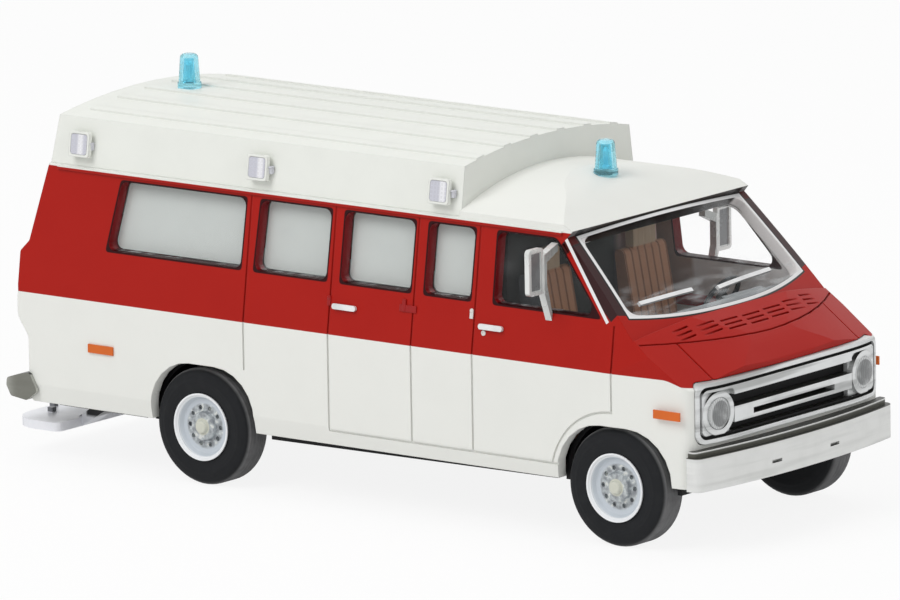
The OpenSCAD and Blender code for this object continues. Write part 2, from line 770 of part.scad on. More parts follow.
// A slab that follows the right-hand side wall between two depths below its outer face
module side_slab(depth, thickness) {
    polygon([
        [-(body_w / 2 - depth), belt_z],
        [-(gutter_w / 2 - depth), gutter_z],
        [-(gutter_w / 2 - depth - thickness), gutter_z],
        [-(body_w / 2 - depth - thickness), belt_z]
    ]);
}
module side_pane(i, depth, thickness) {
    intersection() {
        along_y(2 * body_w) window_outline(i, glass_gap);
        along_x(tail_bulge_x, nose_mid_x) side_slab(depth, thickness);
    }
}
module rear_pane(depth, thickness) {
    ledge_x = tail_x - tail_bulge * ledge_depth_share;
    ledge_z = up(belt_z, gutter_z, ledge_top_share);
    intersection() {
        along_x(tail_bulge_x, tail_x + tail_lean + 2 * wall) rear_window_outline(glass_gap);
        along_y(2 * body_w) polygon([
            [ledge_x + depth, ledge_z],
            [tail_top_x + depth, gutter_z],
            [tail_top_x + depth + thickness, gutter_z],
            [ledge_x + depth + thickness, ledge_z]
        ]);
    }
}
module windscreen() {
    color("lightcyan") difference() {
        intersection() {
            on_screen() translate([0, 0, -2 * wall]) linear_extrude(3 * wall) screen_outline(glass_gap);
            under_screen(glass_recess);
        }
        under_screen(glass_recess + glass_t);
    }
}
module cab_door_glass() {
    color("lightcyan") both_sides() side_pane(cab_window, glass_recess, glass_t);
}
module saloon_glass() {
    color("lightcyan") {
        both_sides() for (i = saloon_windows) side_pane(i, glass_recess, glass_t);
        rear_pane(glass_recess, glass_t);
    }
}
module saloon_blinds() {
    color("gainsboro") {
        both_sides() for (i = saloon_windows) side_pane(i, glass_recess + glass_t, blind_t);
        rear_pane(glass_recess + glass_t, blind_t);
    }
}

// Wheels

tyre_shoulder_r = 0.5;
tyre_bead_r = 0.25;
tyre_bulge = 0.12;
bead_depth = 0.25;
bead_d = rim_d - 2 * bead_depth;
module tyre_ring() {
    rotate_extrude($fn = 96) polygon(rounded([
        [bead_d / 2, tyre_bulge, 0],
        [(rim_d + tyre_d) / 4, 0, tyre_shoulder_r],
        [tyre_d / 2 - tyre_shoulder_r / 2, tyre_bulge, tyre_shoulder_r],
        [tyre_d / 2, tyre_shoulder_r, tyre_bead_r],
        [tyre_d / 2, tyre_w - tyre_shoulder_r, tyre_bead_r],
        [tyre_d / 2 - tyre_shoulder_r / 2, tyre_w - tyre_bulge, tyre_shoulder_r],
        [(rim_d + tyre_d) / 4, tyre_w, tyre_shoulder_r],
        [bead_d / 2, tyre_w - tyre_bulge, 0]
    ]));
}
// Places children with Z pointing out of a wheel, from its inner face; side is -1 right, 1 left
module at_wheel(x, side) {
    translate([x, side * (wheels_w / 2 - tyre_w), axle_z]) rotate([-90 * side, 0, 0]) children();
}
module tyre(x, side) {
    color("dimgray") at_wheel(x, side) tyre_ring();
}
module tyre_front_right() { tyre(front_axle_x, -1); }
module tyre_front_left() { tyre(front_axle_x, 1); }
module tyre_rear_right() { tyre(rear_axle_x, -1); }
module tyre_rear_left() { tyre(rear_axle_x, 1); }

rim_lip = 0.12;
rim_dish = 0.5;
rim_disc_t = 0.45;
hub_d = 2;
hub_dome_d = 1.05;
hub_rise = 0.34;
hub_dome_rise = 0.28;
hand_hole_count = 10;
hand_hole_d = 0.34;
hand_hole_pcd = 2.75;
axle_press = 1.6;
axle_fit = 0.01;
module rim(x, side) {
    face = tyre_w - rim_dish;
    color("silver") at_wheel(x, side) difference() {
        rotate_extrude($fn = 96) polygon(rounded([
            [axle_d / 2, 0, 0],
            [axle_d / 2 + rim_disc_t, 0, 0],
            [axle_d / 2 + rim_disc_t, face - rim_disc_t, 0],
            [bead_d / 2 - rim_disc_t / 2, face - rim_disc_t, 0],
            [bead_d / 2 - rim_disc_t / 2, 0, 0],
            [bead_d / 2 - fit_gap, 0, 0],
            [bead_d / 2 - fit_gap, tyre_w - tyre_bulge + fit_gap, 0],
            [rim_d / 2, tyre_w - tyre_bulge / 2 + fit_gap, 0],
            [rim_d / 2, tyre_w + rim_lip - tyre_bulge / 2, 0],
            [rim_d / 2 - rim_lip, tyre_w + rim_lip - tyre_bulge / 2, rim_lip / 2],
            [rim_d / 2 - 2 * rim_lip, tyre_w - tyre_bulge, rim_lip],
            [bead_d / 2 - 2 * rim_lip, face, rim_lip],
            [hub_d / 2 + rim_lip, face, rim_lip],
            [hub_d / 2, face + hub_rise, rim_lip],
            [hub_dome_d / 2, face + hub_rise, 0],
            [hub_dome_d / 2 - rim_lip, face + hub_rise + hub_dome_rise, rim_lip],
            [0, face + hub_rise + hub_dome_rise, 0],
            [0, axle_press, 0],
            [axle_d / 2, axle_press, 0]
        ]));
        for (i = [0 : hand_hole_count - 1]) rotate(i * 360 / hand_hole_count)
            translate([hand_hole_pcd / 2, 0, face - rim_disc_t / 2])
                cylinder(d = hand_hole_d, h = rim_disc_t);
    }
}
module rim_front_right() { rim(front_axle_x, -1); }
module rim_front_left() { rim(front_axle_x, 1); }
module rim_rear_right() { rim(rear_axle_x, -1); }
module rim_rear_left() { rim(rear_axle_x, 1); }

module axle(x) {
    length = wheels_w - 2 * tyre_w + 2 * axle_press;
    color("gray") translate([x, 0, axle_z]) rotate([90, 0, 0])
        cylinder(d = axle_d - 2 * axle_fit, h = length - 2 * fit_gap, center = true);
}
module front_axle() { axle(front_axle_x); }
module rear_axle() { axle(rear_axle_x); }

// Chassis

chassis_low_z = 4.1;
chassis_t = 0.7;
chassis_front = 3.5;
chassis_gap = 0.1;
chassis_w = min(sill_w, body_w) - 2 * (wall + chassis_gap);
waist_w = 15.9;
waist_run = 11.4;
bearing_run = 1.9;
bearing_lug = 1.3;
bearing_drop = 0.85;
bearing_gap = 0.06;
bearing_cap = 1.3;
bearing_top_z = axle_z + bearing_cap;
bearing_w = 16.4;
rail_w = 1.1;
rail_h = 0.45;
rail_place_share = 0.36;
tub_wall = 0.35;
tub_in_w = 16.5;
tub_out_w = chassis_w - 2 * chassis_gap;
tank_run = 7.5;
tank_w = 7;
tank_h = 0.7;
tank_place_share = 0.52;
silencer_d = 1.3;
silencer_run = 6;
silencer_place_share = 0.68;
pipe_d = 0.7;
pipe_y_share = 0.26;
diff_d = 2.3;
diff_w = 2.4;
spring_w = 0.9;
spring_run = 12;
spring_h = 0.5;
spring_y_share = 0.72;
chassis_top_z = chassis_low_z + chassis_t;

// Floor plan of the chassis plate, waisted at the wheels
module chassis_plan() {
    difference() {
        polygon(rounded([
            [tail_x + wall + chassis_gap, -chassis_w / 2, tail_fold_r],
            [tail_x + wall + chassis_gap, chassis_w / 2, tail_fold_r],
            [front_axle_x + chassis_front, chassis_w / 2, tail_fold_r],
            [front_axle_x + chassis_front, -chassis_w / 2, tail_fold_r]
        ]));
        for (x = [front_axle_x, rear_axle_x], side = [-1, 1])
            translate([x - waist_run / 2, side > 0 ? waist_w / 2 : -body_w])
                square([waist_run, body_w - waist_w / 2]);
    }
}

// Liner round one wheel: a half drum with a closed inner face
module wheel_tub(x) {
    translate([x, 0, axle_z]) difference() {
        along_y(tub_out_w) circle(arch_r + tub_wall);
        along_y(tub_out_w + overrun) circle(arch_r);
        translate([-body_w, -body_w, -body_w])
            cube([2 * body_w, 2 * body_w, body_w + chassis_low_z - axle_z]);
        translate([-body_w, -waist_w / 2, -body_w]) cube([2 * body_w, waist_w, 2 * body_w]);
    }
    translate([x, 0, axle_z]) difference() {
        along_y(tub_in_w) circle(arch_r + tub_wall);
        along_y(waist_w) circle(arch_r + tub_wall + overrun);
        translate([-body_w, -body_w, -body_w])
            cube([2 * body_w, 2 * body_w, body_w + chassis_low_z - axle_z]);
    }
}

// Edge under each sill, deeper towards the rear, and the beam across the rear end
edge_w = 0.8;
edge_drop = 0.25;
beam_w = 11;
beam_run = 3;
beam_drop = 0.85;
silencer_x = up(rear_axle_x, front_axle_x, silencer_place_share);
pipe_y = -pipe_y_share * chassis_w;
pipe_end_x = tail_x + 2 * wall;
// Frame rails, spring packs, fuel tank and exhaust moulded under the plate
module underside() {
    both_sides() {
        translate([pipe_end_x, rail_place_share * chassis_w / 2 - rail_w / 2, chassis_low_z - rail_h])
            cube([front_axle_x - waist_run / 2 - pipe_end_x, rail_w, rail_h + chassis_t / 2]);
        translate([rear_axle_x - spring_run / 2, spring_y_share * waist_w / 2 - spring_w / 2,
                   chassis_low_z - spring_h])
            cube([spring_run, spring_w, spring_h + chassis_t / 2]);
        translate([0, chassis_w / 2 - edge_w / 2, chassis_low_z]) along_y(edge_w) polygon([
            [rear_axle_x + waist_run / 2, chassis_t / 2],
            [rear_axle_x + waist_run / 2, -edge_drop],
            [front_axle_x - waist_run / 2, 0],
            [front_axle_x - waist_run / 2, chassis_t / 2]
        ]);
    }
    translate([pipe_end_x, -beam_w / 2, chassis_low_z - beam_drop])
        cube([beam_run, beam_w, beam_drop + chassis_t / 2]);
    translate([up(rear_axle_x, front_axle_x, tank_place_share) - tank_run / 2, -tank_w / 2,
               chassis_low_z - tank_h])
        cube([tank_run, tank_w, tank_h + chassis_t / 2]);
    translate([rear_axle_x, 0, axle_z]) rotate([90, 0, 0]) cylinder(d = diff_d, h = diff_w, center = true);
    translate([silencer_x, pipe_y, chassis_low_z]) rotate([0, 90, 0])
        cylinder(d = silencer_d, h = silencer_run, center = true);
    translate([pipe_end_x, pipe_y, chassis_low_z]) rotate([0, 90, 0])
        cylinder(d = pipe_d, h = silencer_x - pipe_end_x);
}
module chassis() {
    color("black") difference() {
        union() {
            translate([0, 0, chassis_low_z]) linear_extrude(chassis_t) chassis_plan();
            for (x = [front_axle_x, rear_axle_x]) {
                wheel_tub(x);
                both_sides()
                    translate([x - bearing_run / 2, bearing_w / 2 - bearing_lug, axle_z - bearing_drop])
                    cube([bearing_run, bearing_lug, bearing_top_z - axle_z + bearing_drop]);
            }
            underside();
        }
        for (x = [front_axle_x, rear_axle_x]) translate([x, 0, axle_z]) rotate([90, 0, 0])
            cylinder(d = axle_d + 2 * bearing_gap, h = 2 * body_w, center = true);
    }
}

// Cab

floor_t = 0.6;
floor_gap = 0.02;
cab_floor_w = 15.8;
cab_floor_front = 4.6;
engine_cover_w = 5.2;
engine_cover_z = 11.7;
engine_cover_run = 8;
engine_cover_r = 0.8;
bulkhead_share = 0.325;
bulkhead_t = 0.8;
bulkhead_x = window_x(bulkhead_share);
bulkhead_gap = 0.05;
bulkhead_drop = 0.4;
bulkhead_top_z = gutter_z - bulkhead_drop;
module bulkhead_section() {
    polygon([
        [-(waist_w / 2), chassis_top_z + floor_gap],
        [-(waist_w / 2), window_low_z - 2 * wall],
        [-(body_w / 2 - 3 * wall), window_low_z - 2 * wall],
        [-(gutter_w / 2 - 2 * wall), bulkhead_top_z],
        [gutter_w / 2 - 2 * wall, bulkhead_top_z],
        [body_w / 2 - 3 * wall, window_low_z - 2 * wall],
        [waist_w / 2, window_low_z - 2 * wall],
        [waist_w / 2, chassis_top_z + floor_gap]
    ]);
}
module cab_floor() {
    floor_x = bulkhead_x + bulkhead_t + floor_gap;
    cover_h = engine_cover_z - bearing_top_z - floor_t;
    color("dimgray") {
        translate([floor_x, -cab_floor_w / 2, bearing_top_z + floor_gap])
            cube([front_axle_x + cab_floor_front - floor_x, cab_floor_w, floor_t]);
        translate([floor_x, -cab_floor_w / 2, chassis_top_z + floor_gap])
            cube([floor_t, cab_floor_w, bearing_top_z + floor_t / 2 - chassis_top_z]);
        translate([front_axle_x - engine_cover_run / 2 - engine_cover_r, 0,
                   bearing_top_z + floor_gap + floor_t / 2])
            along_x(0, engine_cover_run) polygon(rounded([
                [-engine_cover_w / 2, 0, 0],
                [-engine_cover_w / 2 + engine_cover_r / 2, cover_h, engine_cover_r],
                [engine_cover_w / 2 - engine_cover_r / 2, cover_h, engine_cover_r],
                [engine_cover_w / 2, 0, 0]
            ]));
    }
}
module bulkhead() {
    color("dimgray") along_x(bulkhead_x, bulkhead_x + bulkhead_t) bulkhead_section();
}

dash_low_z = 12.5;
dash_side_gap = 0.75;
dash_w = body_w - 2 * (wall + dash_side_gap);
dash_depth = 3.2;
dash_gap = 0.25;
dash_r = 0.5;
binnacle_w = 4.6;
binnacle_h = 0.7;
binnacle_run = 1.6;
seat_w = 5;
seat_side_gap = 2.65;
seat_y = body_w / 2 - wall - seat_side_gap - seat_w / 2;
module dashboard() {
    top_x = screen_foot_x - 2 * wall;
    color("dimgray") intersection() {
        union() {
            along_y(dash_w) polygon(rounded([
                [top_x - dash_depth, dash_low_z, dash_r],
                [top_x - dash_depth - dash_r, screen_foot_z - wall - dash_r, dash_r],
                [top_x - dash_depth / 2, screen_foot_z - wall / 2, dash_r],
                [top_x, screen_foot_z - 2 * wall, dash_r],
                [top_x - dash_r, dash_low_z, dash_r]
            ]));
            translate([top_x - dash_depth, seat_y, screen_foot_z - wall]) along_y(binnacle_w)
                polygon(rounded([
                    [-dash_r, -dash_r, 0],
                    [-dash_r, binnacle_h, dash_r],
                    [binnacle_run, binnacle_h / 2, dash_r],
                    [binnacle_run, -dash_r, 0]
                ]));
        }
        under_screen(glass_recess + glass_t + dash_gap);
    }
}

wheel_ring_d = 3.6;
wheel_ring_t = 0.36;
wheel_hub_d = 0.8;
wheel_column_d = 0.5;
wheel_column_run = 2.4;
wheel_lean = 32;
wheel_back = 3.2;
wheel_z = 14.7;
spoke_w = 0.4;
module steering_wheel() {
    ring_r = wheel_ring_d / 2 - wheel_ring_t / 2;
    color("dimgray") translate([front_axle_x - wheel_back, seat_y, wheel_z]) rotate([0, wheel_lean - 90, 0]) {
        rotate_extrude($fn = 72) translate([ring_r, 0]) circle(wheel_ring_t / 2);
        translate([0, 0, -wheel_column_run]) cylinder(d = wheel_column_d, h = wheel_column_run);
        translate([0, 0, -wheel_ring_t / 2]) cylinder(d = wheel_hub_d, h = wheel_ring_t);
        for (turn = [0, 180]) rotate(turn) translate([0, -spoke_w / 2, -wheel_ring_t / 4])
            cube([ring_r, spoke_w, wheel_ring_t / 2]);
    }
}

seat_run = 4.6;
seat_back_z = 17.7;
seat_cushion_z = 10.9;
seat_cushion_t = 1.5;
seat_back_t = 1.2;
seat_lean = 0.9;
seat_r = 0.5;
head_w = 2.6;
head_z = 19.3;
seat_back_x = bulkhead_x + bulkhead_t + floor_gap + seat_lean / 2;
module seat(side) {
    floor_z = bearing_top_z + floor_gap + floor_t;
    color("rosybrown") translate([0, side * seat_y, 0]) {
        along_y(seat_w) polygon(rounded([
            [seat_back_x + seat_lean, seat_cushion_z - seat_cushion_t, seat_r],
            [seat_back_x, seat_back_z, seat_r],
            [seat_back_x + seat_back_t * 2 / 3, seat_back_z, seat_r],
            [seat_back_x + seat_lean + seat_back_t, seat_cushion_z, seat_r / 2],
            [seat_back_x + seat_lean + seat_run, seat_cushion_z, seat_r],
            [seat_back_x + seat_lean + seat_run, seat_cushion_z - seat_cushion_t, seat_r]
        ]));
        along_y(seat_w - 2 * seat_r) polygon([
            [seat_back_x + seat_lean + seat_r, floor_z],
            [seat_back_x + seat_lean + seat_r, seat_cushion_z - seat_cushion_t / 2],
            [seat_back_x + seat_lean + seat_run - 2 * seat_r, seat_cushion_z - seat_cushion_t / 2],
            [seat_back_x + seat_lean + seat_run - 3 * seat_r, floor_z]
        ]);
        along_y(head_w) polygon(rounded([
            [seat_back_x + seat_r / 4, seat_back_z - seat_r, 0],
            [seat_back_x + seat_r / 8, head_z, seat_r / 2],
            [seat_back_x + seat_back_t * 2 / 3, head_z, seat_r / 2],
            [seat_back_x + seat_back_t * 2 / 3, seat_back_z - seat_r, 0]
        ]));
    }
}
module driver_seat() { seat(1); }
module passenger_seat() { seat(-1); }

// Grille, headlamps and bumpers

grille_proud = 0.8;
grille_fall = 0.65;
grille_bend_share = 6;
grille_steps = 24;
grille_face_x = nose_x + grille_proud;
grille_back_x = nose_x - grille_sink;
grille_t = grille_face_x - grille_back_x;
grille_lip = 0.32;
groove_w = 0.22;
groove_depth = 0.35;
bezel = 3.2;
bezel_r = 0.4;
bezel_recess = 0.5;
headlamp_inset = 2.1;
headlamp_y = grille_w / 2 - headlamp_inset;
headlamp_drop = 0.15;
lens_t = 0.8;
lens_ring = 0.2;
// Slots of the grille, top to bottom: [half width, height, middle above the grille's middle], as shares
// of the grille's width and height
slot_shares = [
    [0.33, 0.2, 0.12],
    [0.225, 0.09, -0.125],
    [0.33, 0.15, -0.31]
];
insert_t = 0.5;
insert_fill_share = 0.33;
module grille_plate(inset) {
    rounded_plate(grille_w - 2 * inset, grille_h - 2 * inset, grille_r - inset / 2);
}
module on_grille(depth) {
    translate([grille_face_x - depth, 0, grille_mid_z]) rotate([90, 0, 90]) children();
}
// All that lies behind the grille's bowed face, sunk by depth
module behind_grille(depth) {
    curve = [for (i = [0 : grille_steps]) let (t = 2 * i / grille_steps - 1)
        [grille_face_x - grille_fall * pow(abs(t), grille_bend_share) - depth, t * grille_w / 2]];
    translate([0, 0, grille_low_z - overrun]) linear_extrude(grille_h + 2 * overrun)
        polygon(concat(curve, [[grille_back_x, grille_w / 2], [grille_back_x, -grille_w / 2]]));
}
module grille_slots() {
    for (s = slot_shares) translate([0, s[2] * grille_h])
        square([2 * s[0] * grille_w, s[1] * grille_h], center = true);
}
// The groove just inside the frame, set in on each side by a gap
module groove_ring(gap) {
    on_grille(grille_t) linear_extrude(2 * grille_t) difference() {
        grille_plate(grille_lip + gap);
        grille_plate(grille_lip + groove_w - gap);
    }
}
module at_headlamps() {
    both_sides() translate([0, headlamp_y, -headlamp_drop]) children();
}
module grille_surround() {
    color("gainsboro") difference() {
        intersection() {
            on_grille(grille_t) linear_extrude(grille_t) grille_plate(fit_gap);
            behind_grille(0);
        }
        difference() {
            groove_ring(0);
            behind_grille(groove_depth);
        }
        on_grille(grille_t + overrun) linear_extrude(grille_t + 2 * overrun) grille_slots();
        at_headlamps() {
            on_grille(bezel_recess) linear_extrude(grille_t) difference() {
                rounded_plate(bezel, bezel, bezel_r);
                circle(d = headlamp_d + 4 * lens_ring);
            }
            on_grille(lens_t) linear_extrude(grille_t) circle(d = headlamp_d);
        }
    }
}
module grille_insert() {
    color("black") {
        difference() {
            intersection() {
                groove_ring(fit_gap);
                behind_grille(groove_depth * (1 - insert_fill_share));
            }
            behind_grille(groove_depth - fit_gap);
        }
        on_grille(grille_t + insert_t) linear_extrude(insert_t - fit_gap)
            square([2 * slot_shares[0][0] * grille_w + 2 * bezel_r, grille_h - 4 * grille_lip],
                   center = true);
        on_grille(grille_t + insert_t / 2) linear_extrude(insert_t / 2 + grille_t * insert_fill_share)
            for (s = slot_shares) translate([0, s[2] * grille_h])
                square([2 * s[0] * grille_w - 2 * fit_gap, s[1] * grille_h - 2 * fit_gap], center = true);
    }
}
module headlamps() {
    lens_d = headlamp_d - 2 * fit_gap;
    dome_r = arc_radius(lens_d, lens_ring);
    color("whitesmoke") at_headlamps() on_grille(lens_t - fit_gap) intersection() {
        cylinder(d = lens_d, h = lens_t);
        translate([0, 0, lens_t - dome_r]) sphere(dome_r, $fn = 96);
    }
}

bumper_t = 0.7;
bumper_back = 1;
bumper_end_r = 0.7;
bumper_corner_share = 0.5;
bumper_end_x = nose_x + bumper_corner_share * (front_overhang - nose_reach);
bumper_ledge = 0.4;
bumper_ledge_h = 0.4;
bumper_steps = 12;
bumper_bend_share = 2.2;
bumper_arm_w = 1;
bumper_arm_share = 0.45;
bumper_face_x = front_axle_x + front_overhang;
function bumper_curve(face_x, end_x, width, end_r) =
    [for (i = [0 : bumper_steps]) let (t = 2 * i / bumper_steps - 1)
        [end_x + (face_x - end_x) * (1 - pow(abs(t), bumper_bend_share)), t * width / 2,
         abs(t) == 1 ? end_r : 0]];
module bumper_plan(face_x, end_x, back_x, width, end_r) {
    polygon(rounded(concat(
        bumper_curve(face_x, end_x, width, end_r),
        [[back_x, width / 2, 0], [back_x, -width / 2, 0]]
    )));
}
plate_slot_w = 1.1;
plate_slot_h = 0.22;
plate_slot_pitch = 6.8;
plate_slot_rise_share = 0.32;
module front_bumper() {
    back_x = bumper_end_x - bumper_back;
    inner_w = bumper_w - 2 * bumper_t - bumper_ledge;
    color("gainsboro") difference() {
        union() {
            difference() {
                union() {
                    translate([0, 0, bumper_z]) linear_extrude(bumper_h - bumper_ledge_h)
                        bumper_plan(bumper_face_x, bumper_end_x, back_x, bumper_w, bumper_end_r);
                    translate([0, 0, bumper_z]) linear_extrude(bumper_h)
                        bumper_plan(bumper_face_x - bumper_ledge, bumper_end_x - bumper_ledge, back_x,
                                    bumper_w - bumper_ledge, bumper_end_r);
                }
                translate([0, 0, bumper_z - overrun]) linear_extrude(bumper_h + overrun - bumper_t)
                    bumper_plan(bumper_face_x - bumper_t, bumper_end_x - bumper_t, back_x - overrun, inner_w,
                                bumper_end_r);
            }
            both_sides()
                translate([nose_x, bumper_arm_share * bumper_w / 2 - bumper_arm_w / 2,
                           bumper_z + bumper_h / 2])
                    cube([bumper_face_x - bumper_t / 2 - nose_x - bumper_ledge, bumper_arm_w,
                          bumper_h / 2 - bumper_t / 2]);
        }
        // The nose, which the bumper wraps
        translate([0, 0, bumper_z - overrun]) linear_extrude(bumper_h + 2 * overrun) plan(-fit_gap);
        both_sides()
            translate([bumper_face_x - 2 * plate_slot_h, plate_slot_pitch / 2 - plate_slot_w / 2,
                       bumper_z + bumper_h * plate_slot_rise_share])
                cube([overrun, plate_slot_w, plate_slot_h]);
    }
}

rear_bumper_side = 0.3;
rear_bumper_w = body_w + 2 * rear_bumper_side;
rear_bumper_low_z = 4.5;
rear_bumper_h = 2.08;
rear_bumper_reach = 1.95;
rear_bumper_wrap = 0.92;
rear_bumper_r = 0.3;
// Side view of the bar: [forward from its rear face as a share of its depth, up as a share of its height]
rear_bumper_shares = [
    [0, 0.45], [0.02, 0.72], [0.37, 0.88], [0.75, 1], [1, 0.35], [0.65, 0], [0.14, 0.09]
];
module rear_bumper() {
    depth = rear_bumper_reach + rear_bumper_wrap;
    color("gainsboro") difference() {
        translate([tail_x - rear_bumper_reach, 0, rear_bumper_low_z]) along_y(rear_bumper_w)
            polygon(rounded([for (share = rear_bumper_shares)
                [share[0] * depth, share[1] * rear_bumper_h, rear_bumper_r]]));
        // The tail, which the bumper wraps
        translate([tail_x - fit_gap, -body_w / 2 - fit_gap, 0])
            cube([depth, body_w + 2 * fit_gap, 2 * sill_z]);
    }
}

// Rear step on two arms from the chassis

step_t = 0.65;
step_rear_r = 3.4;
step_front_r = 0.6;
step_arm_w = 1.6;
step_arm_t = 0.7;
step_arm_share = 0.66;
step_arm_reach = 3.2;
step_lug_w = 0.45;
step_lug_h = 0.7;
// Upright lugs: [in from the rear edge as a share of the depth, out from the middle as a share of half
// the width]
step_lug_shares = [[0.06, 0.57], [0.3, 0.72]];
step_rear_x = -overall_length / 2;
step_front_x = step_rear_x + step_depth;
module rear_step() {
    arm_x = tail_x + wall + step_arm_reach;
    color("silver") {
        translate([0, 0, step_z - step_t]) linear_extrude(step_t) polygon(rounded([
            [step_rear_x, -step_w / 2, step_rear_r],
            [step_rear_x, step_w / 2, step_rear_r],
            [step_front_x, step_w / 2, step_front_r],
            [step_front_x, -step_w / 2, step_front_r]
        ]));
        both_sides() translate([0, step_arm_share * step_w / 2, 0]) along_y(step_arm_w) polygon([
            [step_front_x - 2 * step_arm_t, step_z - step_t],
            [arm_x - step_arm_t, chassis_low_z],
            [arm_x + step_arm_t, chassis_low_z],
            [step_front_x, step_z - step_t]
        ]);
        both_sides() for (lug = step_lug_shares)
            translate([step_rear_x + lug[0] * step_depth, lug[1] * step_w / 2 - step_lug_w / 2,
                       step_z - step_t / 2])
                cube([step_lug_w, step_lug_w, step_lug_h]);
    }
}

// Mirrors

mirror_t = 0.4;
mirror_rim = 0.25;
mirror_r = 0.3;
bracket_out = 1.35;
bracket_w = 0.55;
bracket_t = 0.3;
// Each mirror's place behind the front axle and the height of its middle
mirror_right_back = 5.7;
mirror_right_z = 19.2;
mirror_left_back = 8.6;
mirror_left_z = 17.9;
// The strap's ends below and above the middle of the mirror
bracket_foot_drop = 3.7;
bracket_head_rise = 1.7;
function side_y(z) =
    z < belt_z ? body_w / 2 : up(body_w / 2, gutter_w / 2, (z - belt_z) / (gutter_z - belt_z));
module mirror_piece(back, mid_z) {
    head_y = side_y(mid_z) + bracket_out;
    foot_z = mid_z - bracket_foot_drop;
    top_z = mid_z + bracket_head_rise;
    translate([front_axle_x - back, 0, 0]) {
        // Bowed strap, seen from the front
        along_x(-bracket_w / 2, bracket_w / 2) polygon([
            [side_y(foot_z) + fit_gap, foot_z],
            [head_y, mid_z - mirror_h / 2],
            [head_y, mid_z + mirror_h / 2 - bracket_w],
            [side_y(top_z) + fit_gap, top_z],
            [side_y(top_z) + fit_gap, top_z - bracket_w],
            [head_y - bracket_t, mid_z + mirror_h / 2 - 2 * bracket_w],
            [head_y - bracket_t, mid_z - mirror_h / 2 + bracket_w],
            [side_y(foot_z + bracket_w) + fit_gap, foot_z + bracket_w]
        ]);
        translate([0, head_y + mirror_w / 2 - fit_gap, mid_z]) rotate([90, 0, 90]) difference() {
            linear_extrude(mirror_t, center = true) rounded_plate(mirror_w, mirror_h, mirror_r);
            translate([0, 0, mirror_t / 4]) linear_extrude(mirror_t)
                rounded_plate(mirror_w - 2 * mirror_rim, mirror_h - 2 * mirror_rim, mirror_r / 2);
        }
    }
}
module mirror_left() { color("silver") mirror_piece(mirror_left_back, mirror_left_z); }
module mirror_right() { color("silver") mirror([0, 1, 0]) mirror_piece(mirror_right_back, mirror_right_z); }

// Wipers, lying across the foot of the windscreen

wiper_t = 0.22;
wiper_w = 0.3;
wiper_seat = 0.02;
// Ends of each wiper: [up the screen, across it], as shares of its run and half its foot width
wiper_shares = [
    [[0.28, -0.85], [0.25, -0.3]],
    [[0.2, -0.05], [0.26, 0.66]]
];
function on_glass(share) = [-share[0] * screen_run, share[1] * screen_foot_w / 2];
module wipers() {
    color("silver") difference() {
        intersection() {
            on_screen() for (ends = wiper_shares) {
                from = on_glass(ends[0]);
                to = on_glass(ends[1]);
                translate([from[0], from[1], -2 * wall]) rotate(atan2(to[1] - from[1], to[0] - from[0]))
                    translate([0, -wiper_w / 2, 0]) cube([norm(to - from), wiper_w, 4 * wall]);
            }
            under_screen(glass_recess - wiper_seat - wiper_t);
        }
        under_screen(glass_recess - wiper_seat);
    }
}

// Small lamps and handles on the skin

tail_lamp_w = 1.5;
tail_lamp_h = 2.3;
tail_lamp_inset = 1.75;
tail_lamp_y = body_w / 2 - tail_lamp_inset;
tail_lamp_z = 7.85;
tail_lamp_t = 0.35;
tail_lamp_r = 0.3;
module tail_lamps() {
    color("firebrick") both_sides()
        translate([tail_x - tail_lamp_t - fit_gap, tail_lamp_y, tail_lamp_z]) rotate([90, 0, 90])
            linear_extrude(tail_lamp_t) rounded_plate(tail_lamp_w, tail_lamp_h, tail_lamp_r);
}

// Door handles: place behind the front axle as a share of the wheelbase
handle_shares = [0.64, 0.287];
handle_w = 2.1;
handle_h = 0.4;
handle_t = 0.22;
handle_z = 14.45;
side_angle = atan2((body_w - gutter_w) / 2, gutter_z - belt_z);
module door_handles() {
    color("silver") both_sides() for (share = handle_shares)
        translate([window_x(share), side_y(handle_z) + fit_gap, handle_z]) rotate([-90 + side_angle, 0, 0])
            linear_extrude(handle_t) rounded_plate(handle_w, handle_h, handle_h / 2 - fit_gap);
}

// Side marker lamps: [place behind the front axle as a share of the wheelbase, height]
marker_rear_z = 8.95;
marker_front_z = 10.03;
marker_shares = [1.239, -0.132];
marker_zs = [marker_rear_z, marker_front_z];
marker_w = 2.3;
marker_h = 0.62;
marker_t = 0.12;
module side_markers() {
    color("darkorange") both_sides() for (i = [0, 1])
        translate([window_x(marker_shares[i]) - marker_w / 2, body_w / 2 + fit_gap,
                   marker_zs[i] - marker_h / 2])
            cube([marker_w, marker_t, marker_h]);
}

body_shell();
high_roof();
roof_lamp_lenses();
windscreen();
cab_door_glass();
saloon_glass();
saloon_blinds();
dashboard();
steering_wheel();
driver_seat();
passenger_seat();
cab_floor();
bulkhead();
chassis();
front_axle();
rear_axle();
tyre_front_right();
tyre_front_left();
tyre_rear_right();
tyre_rear_left();
rim_front_right();
rim_front_left();
rim_rear_right();
rim_rear_left();
grille_surround();
grille_insert();
headlamps();
front_bumper();
rear_bumper();
rear_step();
mirror_right();
mirror_left();
wipers();
beacon_front();
beacon_rear();
tail_lamps();
door_handles();
side_markers();
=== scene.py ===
import math

import bmesh
import bpy
from mathutils import Matrix, Vector


